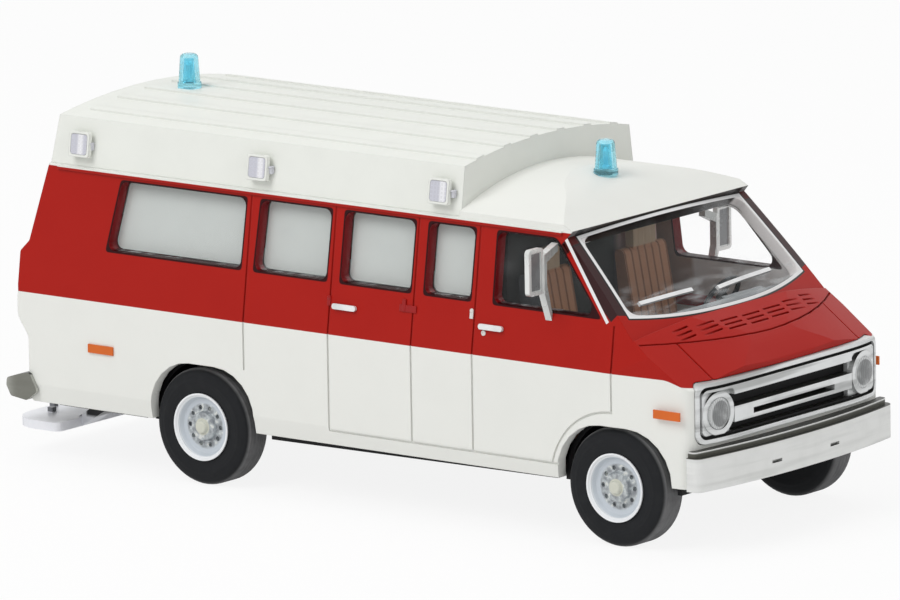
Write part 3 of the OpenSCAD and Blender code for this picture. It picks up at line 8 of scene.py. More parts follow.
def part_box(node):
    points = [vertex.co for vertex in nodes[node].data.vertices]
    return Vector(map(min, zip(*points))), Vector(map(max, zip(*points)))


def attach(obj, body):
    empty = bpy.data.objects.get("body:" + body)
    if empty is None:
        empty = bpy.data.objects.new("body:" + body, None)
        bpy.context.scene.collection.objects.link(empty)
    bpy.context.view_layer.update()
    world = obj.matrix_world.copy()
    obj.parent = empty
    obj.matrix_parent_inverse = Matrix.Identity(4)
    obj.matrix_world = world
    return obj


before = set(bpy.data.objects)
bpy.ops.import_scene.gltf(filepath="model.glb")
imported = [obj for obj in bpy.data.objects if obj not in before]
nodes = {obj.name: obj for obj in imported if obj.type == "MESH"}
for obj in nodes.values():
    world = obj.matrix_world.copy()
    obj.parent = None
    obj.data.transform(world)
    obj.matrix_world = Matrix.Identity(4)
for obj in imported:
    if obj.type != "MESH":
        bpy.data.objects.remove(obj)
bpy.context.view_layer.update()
mm = 0.001
frontAxle = sum(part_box("front_axle"), Vector()) / 2
rearAxle = sum(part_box("rear_axle"), Vector()) / 2
print("frame:", len(nodes), "nodes, front axle at", round(frontAxle.x / mm, 2), "mm")


def onVan(x, y, z):  # millimetres, x forward of the front axle
    return Vector((frontAxle.x + x * mm, y * mm, z * mm))


def shade(red, green, blue):  # a colour as a screen shows it, 0 to 255
    return tuple((c / 255) ** 2.2 for c in (red, green, blue)) + (1,)


def dimmed(colour, share):
    return tuple(c * share for c in colour[:3]) + (1,)


class Wire:  # one output socket; sums and products of it add Math nodes
    def __init__(self, finish, socket):
        self.finish = finish
        self.socket = socket

    def calc(self, operation, *others):
        return self.finish.node("ShaderNodeMath", {"operation": operation}, dict(enumerate((self, *others))))

    def calcFrom(self, operation, first):
        return self.finish.node("ShaderNodeMath", {"operation": operation}, {0: first, 1: self})

    def __add__(self, other):
        return self.calc("ADD", other)

    def __sub__(self, other):
        return self.calc("SUBTRACT", other)

    def __mul__(self, other):
        return self.calc("MULTIPLY", other)

    def __truediv__(self, other):
        return self.calc("DIVIDE", other)

    def __rsub__(self, other):
        return self.calcFrom("SUBTRACT", other)

    def __rtruediv__(self, other):
        return self.calcFrom("DIVIDE", other)

    __radd__ = __add__
    __rmul__ = __mul__

    def __abs__(self):
        return self.calc("ABSOLUTE")

    def most(self, other):
        return self.calc("MAXIMUM", other)

    def least(self, other):
        return self.calc("MINIMUM", other)

    def rise(self, low, high):  # 0 below low, 1 above high
        sockets = {"Value": self, "From Min": low, "From Max": high}
        return self.finish.node("ShaderNodeMapRange", {"interpolation_type": "SMOOTHSTEP"}, sockets)

    def fall(self, low, high):  # 1 below low, 0 above high
        return 1 - self.rise(low, high)

    def band(self, low, high, soft):  # 1 between low and high
        return self.rise(low - soft, low + soft) * self.fall(high - soft, high + soft)

    def stripes(self, low, high, soft):  # the same band again at every whole number
        return self.calc("FRACT").band(low, high, soft)

    def hypot(self, other):
        return (self.calc("POWER", 2) + other.calc("POWER", 2)).calc("SQRT")


class Finish:  # a material: constants go on the shader, wires come later through feed
    def __init__(self, name, **surface):
        self.material = bpy.data.materials.new(name)
        self.material.use_nodes = True
        self.tree = self.material.node_tree
        self.shader = self.tree.nodes["Principled BSDF"]
        for socket, value in surface.items():
            self.feed(socket, value)

    def node(self, kind, settings=None, sockets=None, output=0):
        made = self.tree.nodes.new(kind)
        for name, value in (settings or {}).items():
            setattr(made, name, value)
        for name, value in (sockets or {}).items():
            if isinstance(value, Wire):
                self.tree.links.new(value.socket, made.inputs[name])
            else:
                made.inputs[name].default_value = value
        return Wire(self, made.outputs[output])

    def feed(self, socket, value):
        target = self.shader.inputs[socket.replace("_", " ")]
        if isinstance(value, Wire):
            self.tree.links.new(value.socket, target)
        else:
            target.default_value = value

    def axes(self, vector):
        split = self.node("ShaderNodeSeparateXYZ", None, {0: vector}).socket.node
        return [Wire(self, out) for out in split.outputs]

    def place(self):  # object coordinates in millimetres, x forward of the front axle
        coords = self.node("ShaderNodeTexCoord", output="Object")
        x, y, z = self.axes(coords)
        return coords, x / mm - frontAxle.x / mm, y / mm, z / mm

    def facing(self):
        return self.axes(self.node("ShaderNodeNewGeometry", output="Normal"))

    def mix(self, factor, below, above):
        return self.node("ShaderNodeMix", {"data_type": "RGBA"}, {0: factor, 6: below, 7: above}, 2)

    def noise(self, coords, perMm, detail=2.0):
        sockets = {"Vector": coords, "Scale": perMm / mm, "Detail": detail}
        return self.node("ShaderNodeTexNoise", None, sockets)

    def stretched(self, coords, stretch):
        return self.node("ShaderNodeVectorMath", {"operation": "MULTIPLY"}, {0: coords, 1: stretch})

    def bump(self, height, strength, depth, soft=0):  # depth and soft edge in millimetres
        sockets = {"Height": height, "Strength": strength, "Distance": depth * mm}
        if soft:
            sockets["Normal"] = self.node("ShaderNodeBevel", {"samples": 6}, {"Radius": soft * mm})
        self.feed("Normal", self.node("ShaderNodeBump", None, sockets))

    def dress(self, *names):
        for name in names:
            slots = nodes[name].data.materials
            slots.clear()
            slots.append(self.material)


# Windscreen's printed frame: silver ring, black seal and bright strip; the red pillar up to the strip is
# painted maroon as a painted dark reflection, and the jambs get painted light
screenLook = {
    "foot": (2.5, 15.7), "head": (-4.2, 21.8), "depth": (-1.75, -1.65), "below": 0.5,
    "footMargin": 0.4, "footRise": 1.5, "footHalf": 9.9, "headMargin": 0.4, "headHalf": 9.25,
    "ringGap": 0.02, "ring": 0.28, "ringEdge": 0.015, "seal": 0.42,  # out from the glass
    "edge": 0.02, "endEdge": 0.03,
    "jambLight": (0, 0.05), "jambY": (8.4, 8.8), "jambDepth": (-0.4, -0.3),
    "cornerY": (8.7, 8.9), "cornerDown": (0.85, 0.75),
    "pillarIn": (-0.3, -0.2), "pillarFoot": (0.02, 0.06), "pillarDown": (0.75, 0.6),
    "stripFoot": (-0.75, 16.05), "stripHead": (-4.95, 21.5), "stripWidth": 0.26,
    "stripPast": 0.25, "stripShort": 0.35, "stripY": (9.6, 9.7),
}


def screenMasks(x, across, z, look):
    edge = look["edge"]
    # how far up the screen a point lies, how far out of it, and how far outside the glass
    footX, footZ = look["foot"]
    headX, headZ = look["head"]
    run = math.hypot(headX - footX, headZ - footZ)
    upX, upZ = (headX - footX) / run, (headZ - footZ) / run
    climb = (x - footX) * upX + (z - footZ) * upZ
    height = (x - footX) * upZ - (z - footZ) * upX
    footClimb = look["footMargin"] + look["footRise"]
    headClimb = run - look["headMargin"]
    below = look["footMargin"] + look["footRise"] * (across / look["footHalf"]).calc("POWER", 2) - climb
    taper = (look["headHalf"] - look["footHalf"]) / (headClimb - footClimb)
    beside = across - (look["footHalf"] + (climb - footClimb) * taper)
    outside = below.most(climb - headClimb).most(beside)
    onScreen = height.rise(*look["depth"]) * climb.band(-look["below"], run + edge, look["endEdge"])
    ring = outside.band(look["ringGap"], look["ring"], look["ringEdge"]) * onScreen
    seal = outside.fall(look["seal"] - edge, look["seal"] + edge) * onScreen
    # painted light: the jambs at the screen's sides are painted pale
    jambLight = outside.fall(*look["jambLight"]) * across.rise(*look["jambY"])
    jambLight = jambLight * height.fall(*look["jambDepth"]) * onScreen
    corner = climb.rise(*(run - down for down in look["cornerDown"])) * across.rise(*look["cornerY"])
    corner = corner * outside.rise(0, edge) * onScreen
    # along the strip on the door's edge, and ahead of it
    (lowX, lowZ), (topX, topZ) = look["stripFoot"], look["stripHead"]
    length = math.hypot(topX - lowX, topZ - lowZ)
    ahead = ((x - lowX) * (topZ - lowZ) - (z - lowZ) * (topX - lowX)) / length
    along = ((x - lowX) * (topX - lowX) + (z - lowZ) * (topZ - lowZ)) / length
    half = look["stripWidth"] / 2
    strip = ahead.band(-half, half, edge) * along.band(-look["stripPast"], length - look["stripShort"], edge)
    strip = strip * across.rise(*look["stripY"])
    # painted dark reflection: the red pillar ahead of the strip is painted maroon
    pillarDarkReflection = ahead.rise(0, edge) * outside.rise(0, edge) * beside.rise(*look["pillarIn"]) * onScreen
    pillarDarkReflection = pillarDarkReflection * below.fall(*look["pillarFoot"])
    pillarDarkReflection = pillarDarkReflection * climb.fall(*(run - down for down in look["pillarDown"]))
    return ring.most(strip), seal, jambLight, corner, pillarDarkReflection, height


# Side windows: a dark line on the skin, and painted shade on the cut edges behind it
windowLook = {
    # rear foot, rear head, front foot and front head of each
    "corners": [(-45.71, -44.78, -33.43, -33.32), (-32.17, -31.94, -25.64, -25.56),
                (-24.34, -24.3, -18.07, -18.03), (-16.81, -16.77, -12.73, -12.69),
                (-10.65, -10.69, -1.37, -5.57)],
    "low": 16.15, "top": 21.15, "round": 0.5,
    "line": (-0.4, 0.13), "lineEdge": 0.03, "cut": (0.1, 0.2),  # out from the opening
    "sideFacing": (0.45, 0.55), "flankY": (8.8, 8.9), "flankDepth": (-1.2, -1.1),
}


def windowDistance(x, z, look):  # how far outside the nearest side window a point lies
    nearest = None
    tall = look["top"] - look["low"]
    share = (z - look["low"]) / tall
    for rearFoot, rearHead, frontFoot, frontHead in look["corners"]:
        lean = math.hypot(1, (frontHead - frontFoot) / tall)
        behind = rearFoot + share * (rearHead - rearFoot) - x
        ahead = (x - frontFoot - share * (frontHead - frontFoot)) / lean
        outside = behind.calc("SMOOTH_MAX", look["low"] - z, look["round"])
        outside = outside.calc("SMOOTH_MAX", ahead, look["round"])
        outside = outside.calc("SMOOTH_MAX", z - look["top"], look["round"])
        nearest = nearest.least(outside) if nearest else outside
    return nearest


def windowMasks(x, across, z, ny, height, look):
    nearest = windowDistance(x, z, look)
    side = abs(ny).rise(*look["sideFacing"])
    flank = across.rise(*look["flankY"]) * height.fall(*look["flankDepth"])
    line = nearest.band(*look["line"], look["lineEdge"]) * side * flank
    return line, nearest.fall(*look["cut"]) * (1 - side) * flank


# Rear end: painted shade on the cut edges of its two windows, and the printed outline of its doors
tailEndLook = {
    "x": (-51.5, -51.4), "window": (15.9, 21.3), "windowHalf": (8.9, 9), "cutFacing": (0.5, 0.6),
    "doorHalf": 9.05, "doorFoot": 6.9, "doorHead": 21.4, "line": (0.03, 0.07), "rearFacing": (-0.5, -0.3),
    "edge": 0.05, "lineEdge": 0.02,
}


def tailMasks(x, across, z, nx, look):
    tail = x.fall(*look["x"])
    cut = tail * z.band(*look["window"], look["edge"]) * abs(nx).fall(*look["cutFacing"])
    gap = abs(across - look["doorHalf"]).least(across)
    beyond = across.rise(look["doorHalf"], look["doorHalf"] + look["edge"])
    gap = gap.least(abs(z - look["doorFoot"]) + beyond)
    door = z.band(look["doorFoot"] - look["edge"], look["doorHead"], look["lineEdge"])
    line = gap.fall(*look["line"]) * door * tail * nx.fall(*look["rearFacing"])
    return cut * across.fall(*look["windowHalf"]), line


# Body shell: red over white, with a white roof, the printed trim, and painted light and shade on the
# pillars, window reveals, jambs and inside
bodyLook = {
    "red": shade(164, 31, 23), "deepRed": shade(146, 24, 22), "white": shade(231, 232, 227),
    "dullWhite": shade(220, 221, 216), "maroon": shade(46, 10, 14), "revealLitRed": shade(120, 16, 22),
    "black": shade(20, 18, 18), "silver": shade(230, 230, 230), "shadedLining": shade(176, 152, 140),
    "jambLight": shade(228, 225, 224), "gapGrey": shade(128, 129, 126),
    "beltZ": 12.4, "gutterZ": 21.66, "edge": 0.02, "noseX": (4.2, 6.6), "noseDrop": 0.5,
    "blotchesPerMm": 0.25, "blotched": (0.35, 0.8), "blotch": 0.16,
    "rough": 0.36, "roughSpread": 0.12, "brightGloss": 0.1,
    "revealLitFacing": (0.3, 0.6), "doorLine": 0.7, "corner": 0.85, "coat": 0.4,
    "inFacing": (-0.4, -0.35), "insideZ": (13.3, 13.4), "insideX": (-51.45, 1.2), "insideEdge": 0.05,
    "cabX": (-9.5, -9), "cabY": (7.6, 8.2),
    "grain": 5, "bump": (0.08, 0.02, 0.1),  # strength, depth and soft edge
}


def bodyPaint(look):
    paint = Finish("bodyPaint", IOR=1.46, Specular_IOR_Level=0.18, Coat_IOR=1.4, Coat_Roughness=0.12)
    coords, x, y, z = paint.place()
    nx, ny, nz = paint.facing()
    across = abs(y)
    edge = look["edge"]
    belt = z - look["beltZ"] + x.rise(*look["noseX"]) * look["noseDrop"]
    red = belt.rise(-edge, edge) * z.fall(look["gutterZ"] - edge, look["gutterZ"] + edge)
    bright, seal, jambLight, corner, pillarDarkReflection, height = screenMasks(x, across, z, screenLook)
    line, cut = windowMasks(x, across, z, ny, height, windowLook)
    tailRevealShade, doorLine = tailMasks(x, across, z, nx, tailEndLook)
    # painted shade: the inside of the shell is painted a shaded brown, and painted light makes it paler
    # beside the seats
    inward = (ny * y.calc("SIGN")).fall(*look["inFacing"]).most(nz.fall(*look["inFacing"]))
    inward = inward * z.rise(*look["insideZ"]) * x.band(*look["insideX"], look["insideEdge"]) * (1 - cut)
    shadedLining = paint.mix(across.rise(*look["cabY"]) * x.rise(*look["cabX"]), look["shadedLining"], look["jambLight"])
    mottle = paint.noise(coords, look["blotchesPerMm"], detail=3)
    worn = paint.mix(red, look["dullWhite"], look["deepRed"])
    # painted shade: the windows' cut edges are painted dark red, lighter where they face forward
    cutEdge = paint.mix(nx.rise(*look["revealLitFacing"]), look["maroon"], look["revealLitRed"])
    gapColour = paint.mix(red, look["gapGrey"], look["maroon"])
    layers = [
        (mottle.rise(*look["blotched"]) * look["blotch"], worn), (inward, shadedLining), (cut, cutEdge),
        (line.most(tailRevealShade), look["maroon"]), (doorLine * look["doorLine"], gapColour),
        (pillarDarkReflection, look["maroon"]), (seal, look["black"]), (jambLight, look["jambLight"]),
        (corner * look["corner"], look["black"]), (bright, look["silver"]),
    ]
    colour = paint.mix(red, look["white"], look["red"])
    for mask, above in layers:
        colour = paint.mix(mask, colour, above)
    paint.feed("Base Color", colour)
    paint.feed("Roughness", look["rough"] + mottle * look["roughSpread"] - bright * look["brightGloss"])
    paint.feed("Coat Weight", pillarDarkReflection.most(seal) * (1 - jambLight) * look["coat"])
    paint.bump(paint.noise(coords, look["grain"]), *look["bump"])
    paint.dress("body_shell")


bodyPaint(bodyLook)
print("body paint done")

# Plain mouldings: colour, roughness, how coarse their skin is, and any soft edge
skinLook = {
    "darker": 0.8, "mottleSize": 10, "mottled": (0.3, 0.8), "mottle": 0.4, "roughSpread": 0.12,
    "bump": (0.1, 0.02), "soft": 0,
}
mouldings = {
    "roofPlastic": {"on": ["high_roof"], "colour": shade(230, 232, 226), "rough": 0.36, "grain": 4,
                    "soft": 0.12, "mottle": 0.14},
    "blindPrint": {"on": ["saloon_blinds"], "colour": shade(198, 203, 200), "rough": 0.54, "grain": 3,
                   "mottle": 0.2},
    "dashPlastic": {"on": ["dashboard"], "colour": shade(150, 154, 156), "rough": 0.44, "grain": 5,
                    "soft": 0.1},
    "floorPlastic": {"on": ["cab_floor", "steering_wheel"], "colour": shade(48, 50, 52), "rough": 0.49,
                     "grain": 7},
    "bulkheadPlastic": {"on": ["bulkhead"], "colour": shade(54, 56, 55), "rough": 0.54, "grain": 4,
                        "left": shade(204, 176, 168), "leftY": (3.5, 5)},
    "markerPrint": {"on": ["side_markers"], "colour": shade(214, 106, 48), "rough": 0.29, "grain": 5},
    "basePlastic": {"on": ["chassis"], "colour": shade(26, 26, 27), "rough": 0.44, "grain": 6},
    "slotPrint": {"on": ["grille_insert"], "colour": shade(22, 22, 23), "rough": 0.49, "grain": 8},
}


def moulded(name, look):
    skin = Finish(name, IOR=1.46, Specular_IOR_Level=0.2)
    coords, x, y, z = skin.place()
    mottle = skin.noise(coords, look["grain"] / look["mottleSize"], detail=3)
    darker = dimmed(look["colour"], look["darker"])
    colour = skin.mix(mottle.rise(*look["mottled"]) * look["mottle"], look["colour"], darker)
    if "left" in look:  # a paler left end
        colour = skin.mix(y.rise(*look["leftY"]), colour, look["left"])
    skin.feed("Base Color", colour)
    skin.feed("Roughness", look["rough"] + mottle * look["roughSpread"])
    skin.bump(skin.noise(coords, look["grain"]), *look["bump"], look["soft"])
    skin.dress(*look["on"])


for name, look in mouldings.items():
    moulded(name, skinLook | look)

# The blinds lie against the panes: draw them in a little, so that the two faces don't share one plane
blindGap = 0.03
drawnIn = nodes["saloon_blinds"].modifiers.new("drawnIn", "DISPLACE")
drawnIn.strength = -blindGap * mm
drawnIn.mid_level = 0

# Seats: a dark outer side, brown padding with stitched pleats, and a khaki headrest
seatLook = {
    "slate": shade(62, 66, 70), "brown": shade(186, 138, 108), "seam": shade(136, 98, 76),
    "khaki": shade(190, 168, 142), "worn": shade(60, 52, 48), "wear": 0.2,
    "pleat": 0.8, "padded": (0.12, 0.88, 0.1), "headZ": 17.7, "outerY": -7.0, "edge": 0.1,
    "grain": 0.8, "rough": 0.5, "roughSpread": 0.15, "bump": (0.4, 0.08),
}


def seatSkin(look):
    skin = Finish("seatSkin", IOR=1.46, Specular_IOR_Level=0.2)
    coords, x, y, z = skin.place()
    edge = look["edge"]
    grain = skin.noise(coords, look["grain"], detail=3)
    pleat = (y / look["pleat"]).stripes(*look["padded"])
    padding = skin.mix(pleat, look["seam"], look["brown"])
    padding = skin.mix(z.rise(look["headZ"] - edge, look["headZ"] + edge), padding, look["khaki"])
    colour = skin.mix(y.fall(look["outerY"] - edge, look["outerY"] + edge), padding, look["slate"])
    skin.feed("Base Color", skin.mix(grain * look["wear"], colour, look["worn"]))
    skin.feed("Roughness", look["rough"] + grain * look["roughSpread"])
    skin.bump(pleat, *look["bump"])
    skin.dress("driver_seat", "passenger_seat")


seatSkin(seatLook)

# Plated front and rear, with painted reflections: dark where a face looks up at the ceiling, bright where it
# looks out, with painted streaks and clouds
plateLook = {
    "up": shade(52, 52, 49), "upFacing": (0.35, 0.75),
    "cloudsPerMm": 0.7, "clouded": (0.4, 0.8), "cloud": 0.12,
    "streaksPerMm": 1.6, "streakStretch": (0.12, 0.06, 1), "streaked": (0.45, 0.7),
    "rough": 0.3, "roughSpread": 0.12, "grain": 1.5, "bump": (0.03, 0.02, 0.06),
}
plates = {
    "bumperPlate": {"on": "front_bumper", "face": shade(226, 227, 225), "streak": shade(176, 178, 174),
                    "reflectionStreakShare": 0.3, "ledge": shade(84, 84, 77), "ledgeLow": (7.08, 7.14),
                    "ledgeTop": (7.4, 7.5)},
    "tailPlate": {"on": "rear_bumper", "face": shade(186, 187, 180), "streak": shade(140, 140, 132),
                  "reflectionStreakShare": 0.5, "end": shade(96, 96, 88), "endX": (-55.6, -53.6), "endFacing": (0.4, 0.6),
                  "endShadeShare": 0.8},
    "grillePlate": {"on": "grille_surround", "face": shade(230, 232, 232), "streak": shade(132, 134, 132),
                    "reflectionStreakShare": 0.6, "topHighlightZ": (11.7, 11.8), "topHighlightShare": 0.85},
}


def plated(name, look):
    plate = Finish(name, Metallic=0.3, IOR=1.5, Specular_IOR_Level=0.3)
    coords, x, y, z = plate.place()
    nx, ny, nz = plate.facing()
    cloud = plate.noise(coords, look["cloudsPerMm"], detail=3)
    layers = plate.noise(plate.stretched(coords, look["streakStretch"]), look["streaksPerMm"])
    # painted reflection: streaks and clouds of a darker grey across the bright face
    colour = plate.mix(layers.rise(*look["streaked"]) * look["reflectionStreakShare"], look["face"], look["streak"])
    colour = plate.mix(cloud.rise(*look["clouded"]) * look["cloud"], colour, look["streak"])
    # painted reflection: faces that look up are painted dark
    up = nz.rise(*look["upFacing"])
    # painted reflection: a dark band along the front bumper's ledge
    if "ledge" in look:  # set back above the face
        colour = plate.mix(z.rise(*look["ledgeLow"]) * z.fall(*look["ledgeTop"]), colour, look["ledge"])
    # painted shade: the rear bumper's ends darken forwards
    if "end" in look:  # darkens forwards
        end = x.rise(*look["endX"]) * abs(ny).rise(*look["endFacing"])
        colour = plate.mix(end * look["endShadeShare"], colour, look["end"])
    # the grille frame's top edge keeps its bright painted reflection
    if "topHighlightZ" in look:  # the frame's top edge stays bright
        up = up * (1 - z.rise(*look["topHighlightZ"]) * look["topHighlightShare"])
    plate.feed("Base Color", plate.mix(up, colour, look["up"]))
    plate.feed("Roughness", look["rough"] + cloud * look["roughSpread"])
    plate.bump(plate.noise(coords, look["grain"]), *look["bump"])
    plate.dress(look["on"])


for name, look in plates.items():
    plated(name, plateLook | look)

# Silver-printed pieces and the axle pins, in shadow underneath and behind
silverLook = {
    "downFacing": (-0.6, -0.2), "rearFacing": (-0.7, -0.3), "turned": 0.7,
    "cloudsPerMm": 0.6, "clouded": (0.4, 0.8), "cloud": 0.3,
    "roughSpread": 0.1, "grain": 3, "bump": (0.06, 0.02),
}
metals = {
    "silverPrint": {"on": ["wipers", "door_handles"], "colour": shade(232, 233, 233),
                    "shadow": shade(150, 152, 154), "rough": 0.27},
    "mirrorPrint": {"on": ["mirror_right", "mirror_left"], "colour": shade(226, 228, 226),
                    "shadow": shade(126, 130, 128), "rough": 0.22, "glass": shade(112, 114, 116),
                    "middles": [(-12.79, 19.2), (12.985, 17.9)],  # across and up
                    "glassY": (0.5, 0.56), "glassZ": (1.28, 1.36), "glassShare": 0.9,
                    "armY": (11.93, 11.98), "armFacing": (0.5, 0.7), "armShare": 0.5},
    "stepPrint": {"on": ["rear_step"], "colour": shade(240, 241, 246), "shadow": shade(206, 208, 214),
                  "rough": 0.32, "bracket": shade(48, 48, 50), "bracketX": (-50.9, -50.7),
                  "bracketZ": (2.7, 3.0), "hook": shade(120, 121, 126), "hookX": (-51.3, -51.2),
                  "hookZ": (2.72, 2.78)},
    "axlePin": {"on": ["front_axle", "rear_axle"], "colour": shade(150, 150, 148),
                "shadow": shade(90, 90, 88), "rough": 0.27},
}


def silvered(name, look):
    plate = Finish(name, Metallic=0.3, Specular_IOR_Level=0.3)
    coords, x, y, z = plate.place()
    nx, ny, nz = plate.facing()
    cloud = plate.noise(coords, look["cloudsPerMm"], detail=3)
    turned = nz.fall(*look["downFacing"]).most(nx.fall(*look["rearFacing"])) * look["turned"]
    # painted shadow on faces turned down or back, together with darker clouds
    shadowAndCloud = turned.most(cloud.rise(*look["clouded"]) * look["cloud"])
    colour = plate.mix(shadowAndCloud, look["colour"], look["shadow"])
    if "glass" in look:
        for middleY, middleZ in look["middles"]:
            glass = abs(y - middleY).fall(*look["glassY"]) * abs(z - middleZ).fall(*look["glassZ"])
            colour = plate.mix(glass * look["glassShare"], colour, look["glass"])
        # painted shade on the forward faces of the mirror arms
        arm = abs(y).fall(*look["armY"]) * nx.rise(*look["armFacing"])
        colour = plate.mix(arm * look["armShare"], colour, look["shadow"])
    if "bracket" in look:
        bracket = x.rise(*look["bracketX"]) * z.rise(*look["bracketZ"])
        colour = plate.mix(bracket, colour, look["bracket"])
        colour = plate.mix(z.rise(*look["hookZ"]) * x.fall(*look["hookX"]), colour, look["hook"])
    plate.feed("Base Color", colour)
    plate.feed("Roughness", look["rough"] + cloud * look["roughSpread"])
    plate.bump(plate.noise(coords, look["grain"]), *look["bump"])
    plate.dress(*look["on"])


for name, look in metals.items():
    silvered(name, silverLook | look)
print("mouldings and plating done")

# Clear panes: a thin haze on their outer faces only, with pale streaks along the foot of the screen
glassLook = {
    "haze": shade(222, 226, 228), "alpha": 0.02, "smearsPerMm": 0.3, "smeared": (0.5, 0.85), "smear": 0.05,
    "streaksPerMm": 1.2, "streakStretch": (1, 0.25, 1), "streaked": (0.48, 0.68), "streakZ": (16.4, 18.2),
    "streak": 0.28, "outFacing": (0.3, 0.5), "rearFacing": (-0.5, -0.3), "rearX": (-50, -49),
    "rough": 0.05, "roughSpread": 0.05,
}


def clearPane(look):
    pane = Finish("clearPane", Base_Color=look["haze"], IOR=1.45, Specular_IOR_Level=0.3)
    coords, x, y, z = pane.place()
    nx, ny, nz = pane.facing()
    screen = nz.rise(*look["outFacing"])
    rear = nx.fall(*look["rearFacing"]) * x.fall(*look["rearX"])
    outward = (ny * y.calc("SIGN")).rise(*look["outFacing"]).most(screen).most(rear)
    smear = pane.noise(coords, look["smearsPerMm"], detail=3)
    streak = pane.noise(pane.stretched(coords, look["streakStretch"]), look["streaksPerMm"])
    streak = streak.rise(*look["streaked"]) * z.fall(*look["streakZ"])
    haze = look["alpha"] + smear.rise(*look["smeared"]) * look["smear"] + screen * streak * look["streak"]
    pane.feed("Roughness", look["rough"] + smear * look["roughSpread"])
    pane.feed("Alpha", outward * haze)
    pane.dress("windscreen", "cab_door_glass", "saloon_glass")


clearPane(glassLook)

# Headlamps: fluted grey lens with a bright ring, and blotches of painted reflection in the ring's colour
lampLook = {
    "lens": shade(124, 126, 126), "flute": shade(84, 86, 88), "ring": shade(190, 192, 192),
    "y": 8.5, "z": 9.875, "ringR": (0.88, 0.98),
    "pitch": 0.2, "fluted": (0.25, 0.75, 0.15), "fluteShare": 0.5,
    "blotchesPerMm": 1.1, "blotched": (0.45, 0.75), "blotch": 0.5,
    "rough": 0.2, "roughSpread": 0.1, "bump": (0.3, 0.03),
}


def headlampLens(look):
    lamp = Finish("headlampLens", Metallic=0.3, Coat_Weight=0.4, Coat_Roughness=0.08)
    coords, x, y, z = lamp.place()
    radius = (abs(y) - look["y"]).hypot(z - look["z"])
    flute = (y / look["pitch"]).stripes(*look["fluted"])
    blotch = lamp.noise(coords, look["blotchesPerMm"])
    colour = lamp.mix(flute * look["fluteShare"], look["lens"], look["flute"])
    # painted reflection: blotches of the ring's bright colour across the lens
    colour = lamp.mix(blotch.rise(*look["blotched"]) * look["blotch"], colour, look["ring"])
    lamp.feed("Base Color", lamp.mix(radius.rise(*look["ringR"]), colour, look["ring"]))
    lamp.feed("Roughness", look["rough"] + flute * look["roughSpread"])
    lamp.bump(flute, *look["bump"])
    lamp.dress("headlamps")


headlampLens(lampLook)

# Roof lamp lenses: pale, with a fine grid and a painted highlight stripe
roofLampLook = {
    "colour": shade(198, 198, 208), "line": shade(182, 184, 194), "lit": shade(228, 228, 232),
    "middles": (-48.85, -32.3, -15.9), "highlightFrom": 0.12, "highlightTo": 0.6, "highlightEdge": 0.12,
    "pitch": 0.3, "lined": (0.3, 0.7, 0.15), "lineShare": 0.5,
    "rough": 0.22, "roughSpread": 0.1, "bump": (0.2, 0.03),
}


def roofLampLens(look):
    lens = Finish("roofLampLens", Metallic=0.1, Coat_Weight=0.3, Coat_Roughness=0.08)
    coords, x, y, z = lens.place()
    upright, level = ((axis / look["pitch"]).stripes(*look["lined"]) for axis in (x, z))
    grid = upright.most(level)
    colour = lens.mix(grid * look["lineShare"], look["colour"], look["line"])
    for middle in look["middles"]:
        # painted highlight: a bright stripe down each lens
        lit = x.band(middle + look["highlightFrom"], middle + look["highlightTo"], look["highlightEdge"])
        colour = lens.mix(lit, colour, look["lit"])
    lens.feed("Base Color", colour)
    lens.feed("Roughness", look["rough"] + grid * look["roughSpread"])
    lens.bump(grid, *look["bump"])
    lens.dress("roof_lamp_lenses")


roofLampLens(roofLampLook)

# Tail lamps: red over amber over clear
tailLook = {
    "red": shade(158, 22, 20), "amber": shade(206, 104, 30), "clear": shade(216, 214, 208),
    "line": shade(60, 20, 18), "amberZ": 7.85, "clearZ": 7.09, "edge": 0.1,
    "linesPerMm": 6, "lined": (0.25, 0.75, 0.15), "lineShare": 0.25,
    "rough": 0.22, "roughSpread": 0.1, "bump": (0.25, 0.03),
}


def tailPrint(look):
    tail = Finish("tailPrint", Coat_Weight=0.4, Coat_Roughness=0.08)
    coords, x, y, z = tail.place()
    fine = (z * look["linesPerMm"]).stripes(*look["lined"])
    colour = tail.mix(z.fall(look["amberZ"] - look["edge"], look["amberZ"]), look["red"], look["amber"])
    colour = tail.mix(z.fall(look["clearZ"], look["clearZ"] + look["edge"]), colour, look["clear"])
    tail.feed("Base Color", tail.mix(fine * look["lineShare"], colour, look["line"]))
    tail.feed("Roughness", look["rough"] + fine * look["roughSpread"])
    tail.bump(fine, *look["bump"])
    tail.dress("tail_lamps")


tailPrint(tailLook)

# Blue beacon caps, clear enough to show the core
beaconLook = {
    "colour": shade(176, 236, 248), "deep": shade(132, 214, 236), "core": shade(206, 240, 246), "clear": 0.9,
    "swirlsPerMm": 0.8, "swirled": (0.4, 0.7), "swirl": 0.6, "ribsPerMm": 3.5, "ribbed": (0.35, 0.65, 0.2),
    "rough": 0.06, "roughSpread": 0.06, "bump": (0.15, 0.04),
}


def beaconCap(look):
    cap = Finish("beaconCap", Transmission_Weight=look["clear"], IOR=1.3, Specular_IOR_Level=0.4)
    coords, x, y, z = cap.place()
    swirl = cap.noise(coords, look["swirlsPerMm"])
    deep = swirl.rise(*look["swirled"]) * look["swirl"]
    cap.feed("Base Color", cap.mix(deep, look["colour"], look["deep"]))
    cap.feed("Roughness", look["rough"] + swirl * look["roughSpread"])
    cap.bump((z * look["ribsPerMm"]).stripes(*look["ribbed"]), *look["bump"])
    cap.dress("beacon_front", "beacon_rear")


beaconCap(beaconLook)

